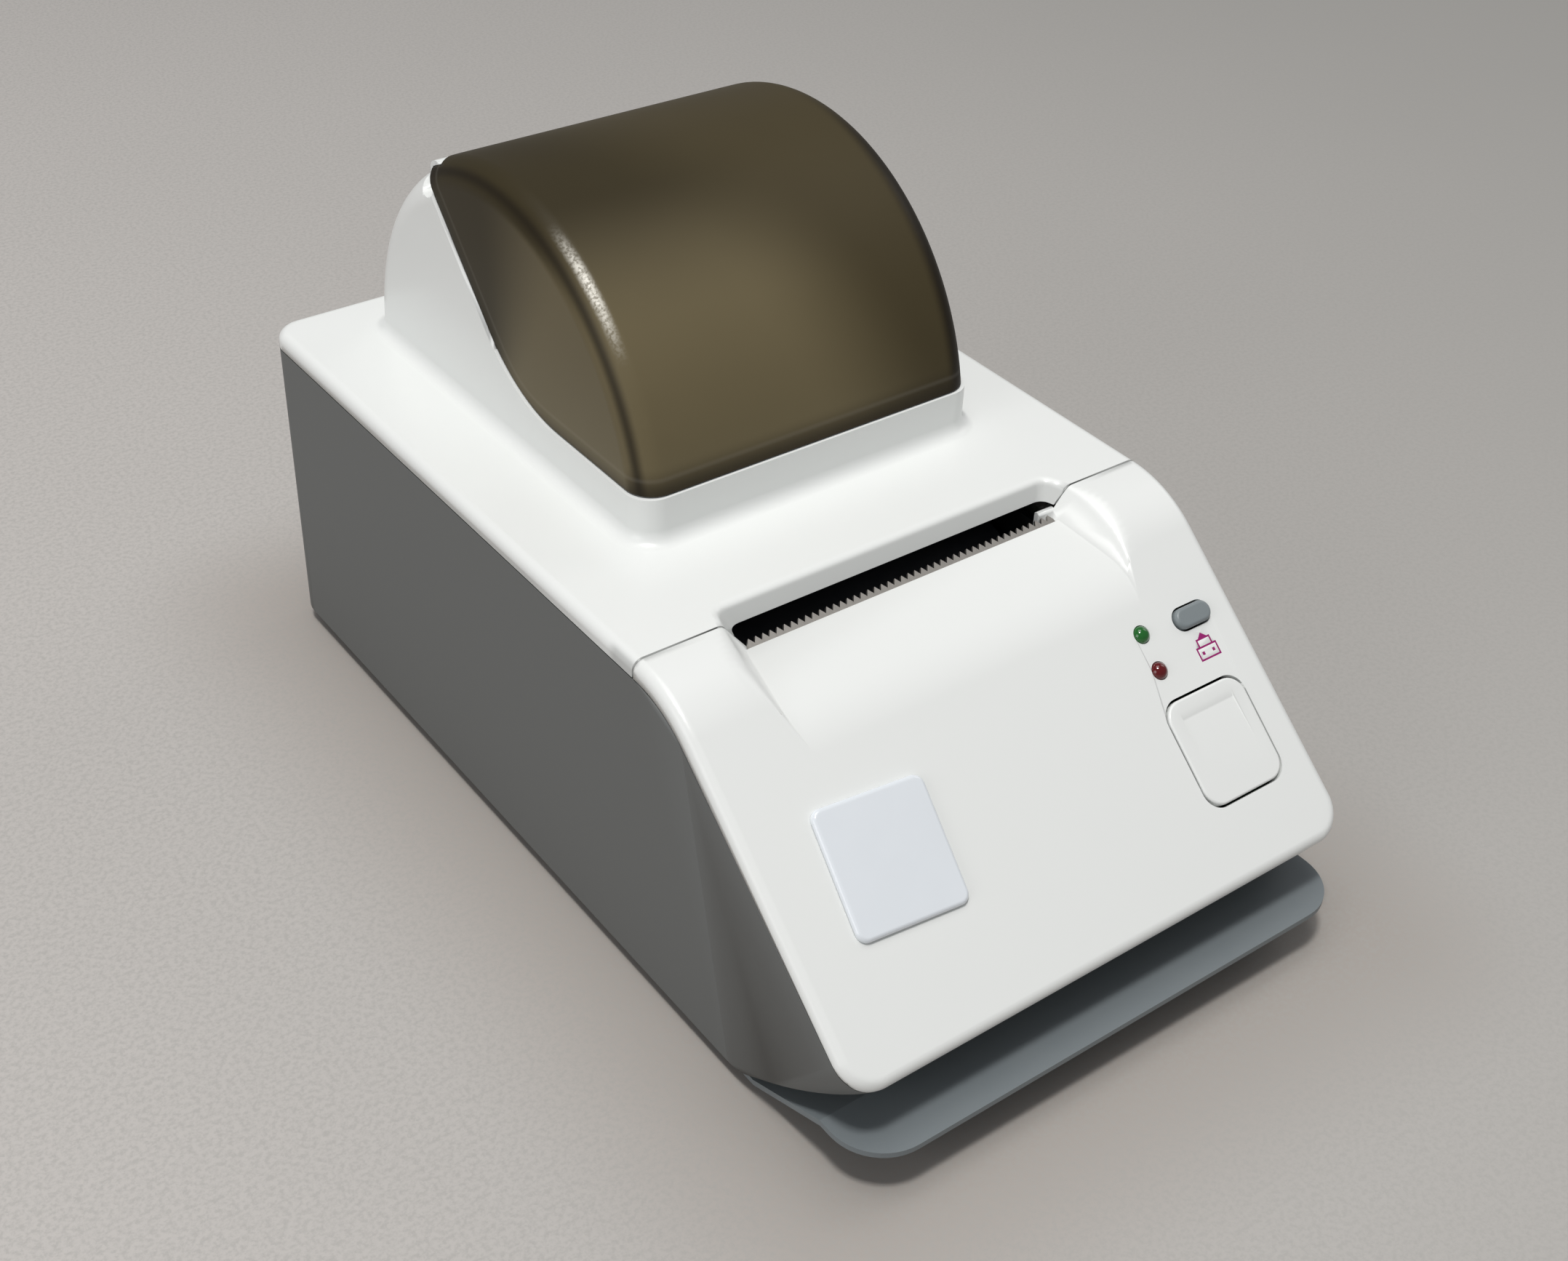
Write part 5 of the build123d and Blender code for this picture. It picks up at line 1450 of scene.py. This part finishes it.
@dataclass(frozen=True)
class Mechanism:
    """Platen, print head, gears and motor between their side plates."""

    shells: Shells
    steel: bpy.types.Material
    black: bpy.types.Material
    aluminium: bpy.types.Material

    def build(self) -> None:
        """Dresses the mechanism."""
        dress = self.shells.dress
        dress(self.steel, "platen_shaft", "head_rod", "idler_pin", "motor_shaft", "motor_pinion",
              "frame_screws")
        dress(FRAME_STEEL.build(), "mech_frame", "feed_motor")
        dress(self.aluminium, "print_head")
        dress(self.black, "paper_guide", "platen_roller")
        dress(BRONZE.build(), "platen_bushes")
        dress(GEAR.build(), "platen_gear", "idler_gear")
        dress(CERAMIC.build(), "head_line")
        HeadSprings().build(self.steel)


@dataclass(frozen=True)
class ChipLegs:
    """Legs round the square packages on the main board, grown from pitch and side.

    A chip is its middle across, its middle along and its side. The used share of a side holds the legs.
    """

    chips: tuple[tuple[float, float, float], ...] = (
        (-8.0 * MM, 34.2 * MM, 14.0 * MM),
        (12.0 * MM, 32.2 * MM, 9.0 * MM),
        (26.0 * MM, 50.2 * MM, 7.0 * MM),
    )
    pitch: float = 1.27 * MM
    width: float = 0.4 * MM
    length: float = 0.9 * MM
    height: float = 0.5 * MM
    used: float = 0.86
    sides: int = 4

    def draw(self, growth: Growth) -> None:
        """Draws one row of legs and repeats it round the package.

        Args:
            growth: The growth to fill.
        """
        graph, given = growth.graph, growth.given
        usable = graph.times(given["Side"], self.used)
        count = graph.math("FLOOR", graph.math("DIVIDE", usable, given["Pitch"]))
        run = graph.times(graph.math("SUBTRACT", count, 1.0), given["Pitch"])
        half = graph.times(run, -0.5)
        out = graph.times(graph.math("ADD", given["Side"], given["Length"]), 0.5)
        start = growth.vector(half, out, graph.times(given["Height"], 0.5))
        points = growth.row(count, start, growth.vector(given["Pitch"], 0.0, 0.0))
        leg = growth.cube(growth.vector(given["Width"], given["Length"], given["Height"]))
        side = growth.repeated(points, leg)
        quarter = math.tau / self.sides
        around = [
            growth.moved(side, turn=growth.vector(0.0, 0.0, quarter * turn)) for turn in range(self.sides)
        ]
        growth.close(growth.moved(growth.joined(*around), place=given["Place"]))

    def build(self, steel: bpy.types.Material) -> None:
        """Grows the legs of each package.

        Args:
            steel: The finish of the legs.
        """
        growth = Growth("chip_leg_growth", {
            "Side": (FLOAT, None),
            "Pitch": (FLOAT, self.pitch),
            "Width": (FLOAT, self.width),
            "Length": (FLOAT, self.length),
            "Height": (FLOAT, self.height),
            "Place": (VECTOR, None),
        })
        self.draw(growth)
        for number, (x, y, side) in enumerate(self.chips, start=1):
            piece = growth.grow(f"chip_legs_{number}", steel, {"Side": side, "Place": (x, y, BOARD_TOP)})
            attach(piece, "printer")


@dataclass(frozen=True)
class Resistors:
    """Field of small parts on the free middle of the main board, thinned by a fixed seed."""

    place: tuple[float, float, float] = (-2.0 * MM, 66.0 * MM, BOARD_TOP)
    span: tuple[float, float] = (34.0 * MM, 16.0 * MM)
    columns: int = 11
    rows: int = 5
    size: tuple[float, float, float] = (1.6 * MM, 0.8 * MM, 0.5 * MM)
    kept: float = 0.62
    seed: int = 7

    def draw(self, growth: Growth) -> None:
        """Draws the small parts on a share of a grid's points.

        Args:
            growth: The growth to fill.
        """
        graph, given = growth.graph, growth.given
        grid = graph.add("GeometryNodeMeshGrid")
        graph.feed(grid, {
            "Size X": given["Span X"],
            "Size Y": given["Span Y"],
            "Vertices X": given["Columns"],
            "Vertices Y": given["Rows"],
        })
        chance = graph.add("FunctionNodeRandomValue", data_type="BOOLEAN")
        graph.feed(chance, {"Probability": given["Kept"], "Seed": given["Seed"]})
        height = graph.split(given["Size"])["Z"]
        lift = growth.vector(0.0, 0.0, graph.times(height, 0.5))
        seat = growth.moved(growth.cube(given["Size"]), place=lift)
        parts = growth.repeated(grid.outputs["Mesh"], seat, chosen=chance.outputs[RANDOM_CHOICE])
        growth.close(growth.moved(parts, place=given["Place"]))

    def build(self) -> None:
        """Grows the field."""
        growth = Growth("resistor_growth", {
            "Span X": (FLOAT, self.span[0]),
            "Span Y": (FLOAT, self.span[1]),
            "Columns": (INTEGER, self.columns),
            "Rows": (INTEGER, self.rows),
            "Size": (VECTOR, self.size),
            "Kept": (FLOAT, self.kept),
            "Seed": (INTEGER, self.seed),
            "Place": (VECTOR, self.place),
        })
        self.draw(growth)
        piece = growth.grow("board_resistors", RESISTOR.build())
        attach(piece, "printer")


@dataclass(frozen=True)
class Electronics:
    """Boards, their parts, the sockets at the back, the key's pin, and the screws of boards and base."""

    shells: Shells
    steel: bpy.types.Material
    black: bpy.types.Material
    aluminium: bpy.types.Material

    def build(self) -> None:
        """Dresses the boards and adds their small parts."""
        dress = self.shells.dress
        dress(BOARD.build(), "key_board", "main_board")
        dress(PACKAGE.build(), "tact_plunger", "tact_switch", "power_switch", "switch_plunger", "board_chips")
        dress(self.aluminium, "board_capacitors")
        dress(self.black, "dc_inlet", "data_socket")
        dress(self.steel, "base_screws", "key_pin", "key_board_screws", "board_screws")
        ChipLegs().build(self.steel)
        Resistors().build()


def main() -> None:
    """Builds the camera, the studio and each part of the printer."""
    logging.basicConfig(level=logging.INFO)
    bpy.context.scene.view_settings.view_transform = "Standard"
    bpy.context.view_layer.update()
    Camera().build()
    Studio().build()
    shells = Shells(frame["nodes"])
    white, steel, black, aluminium = WHITE.build(), STEEL.build(), BLACK.build(), ALUMINIUM.build()
    Housing(shells, white).build()
    RollBay(shells, steel, black).build()
    Controls(shells, white).build()
    TearBar().build()
    Mechanism(shells, steel, black, aluminium).build()
    Electronics(shells, steel, black, aluminium).build()


if __name__ == "__main__":
    main()
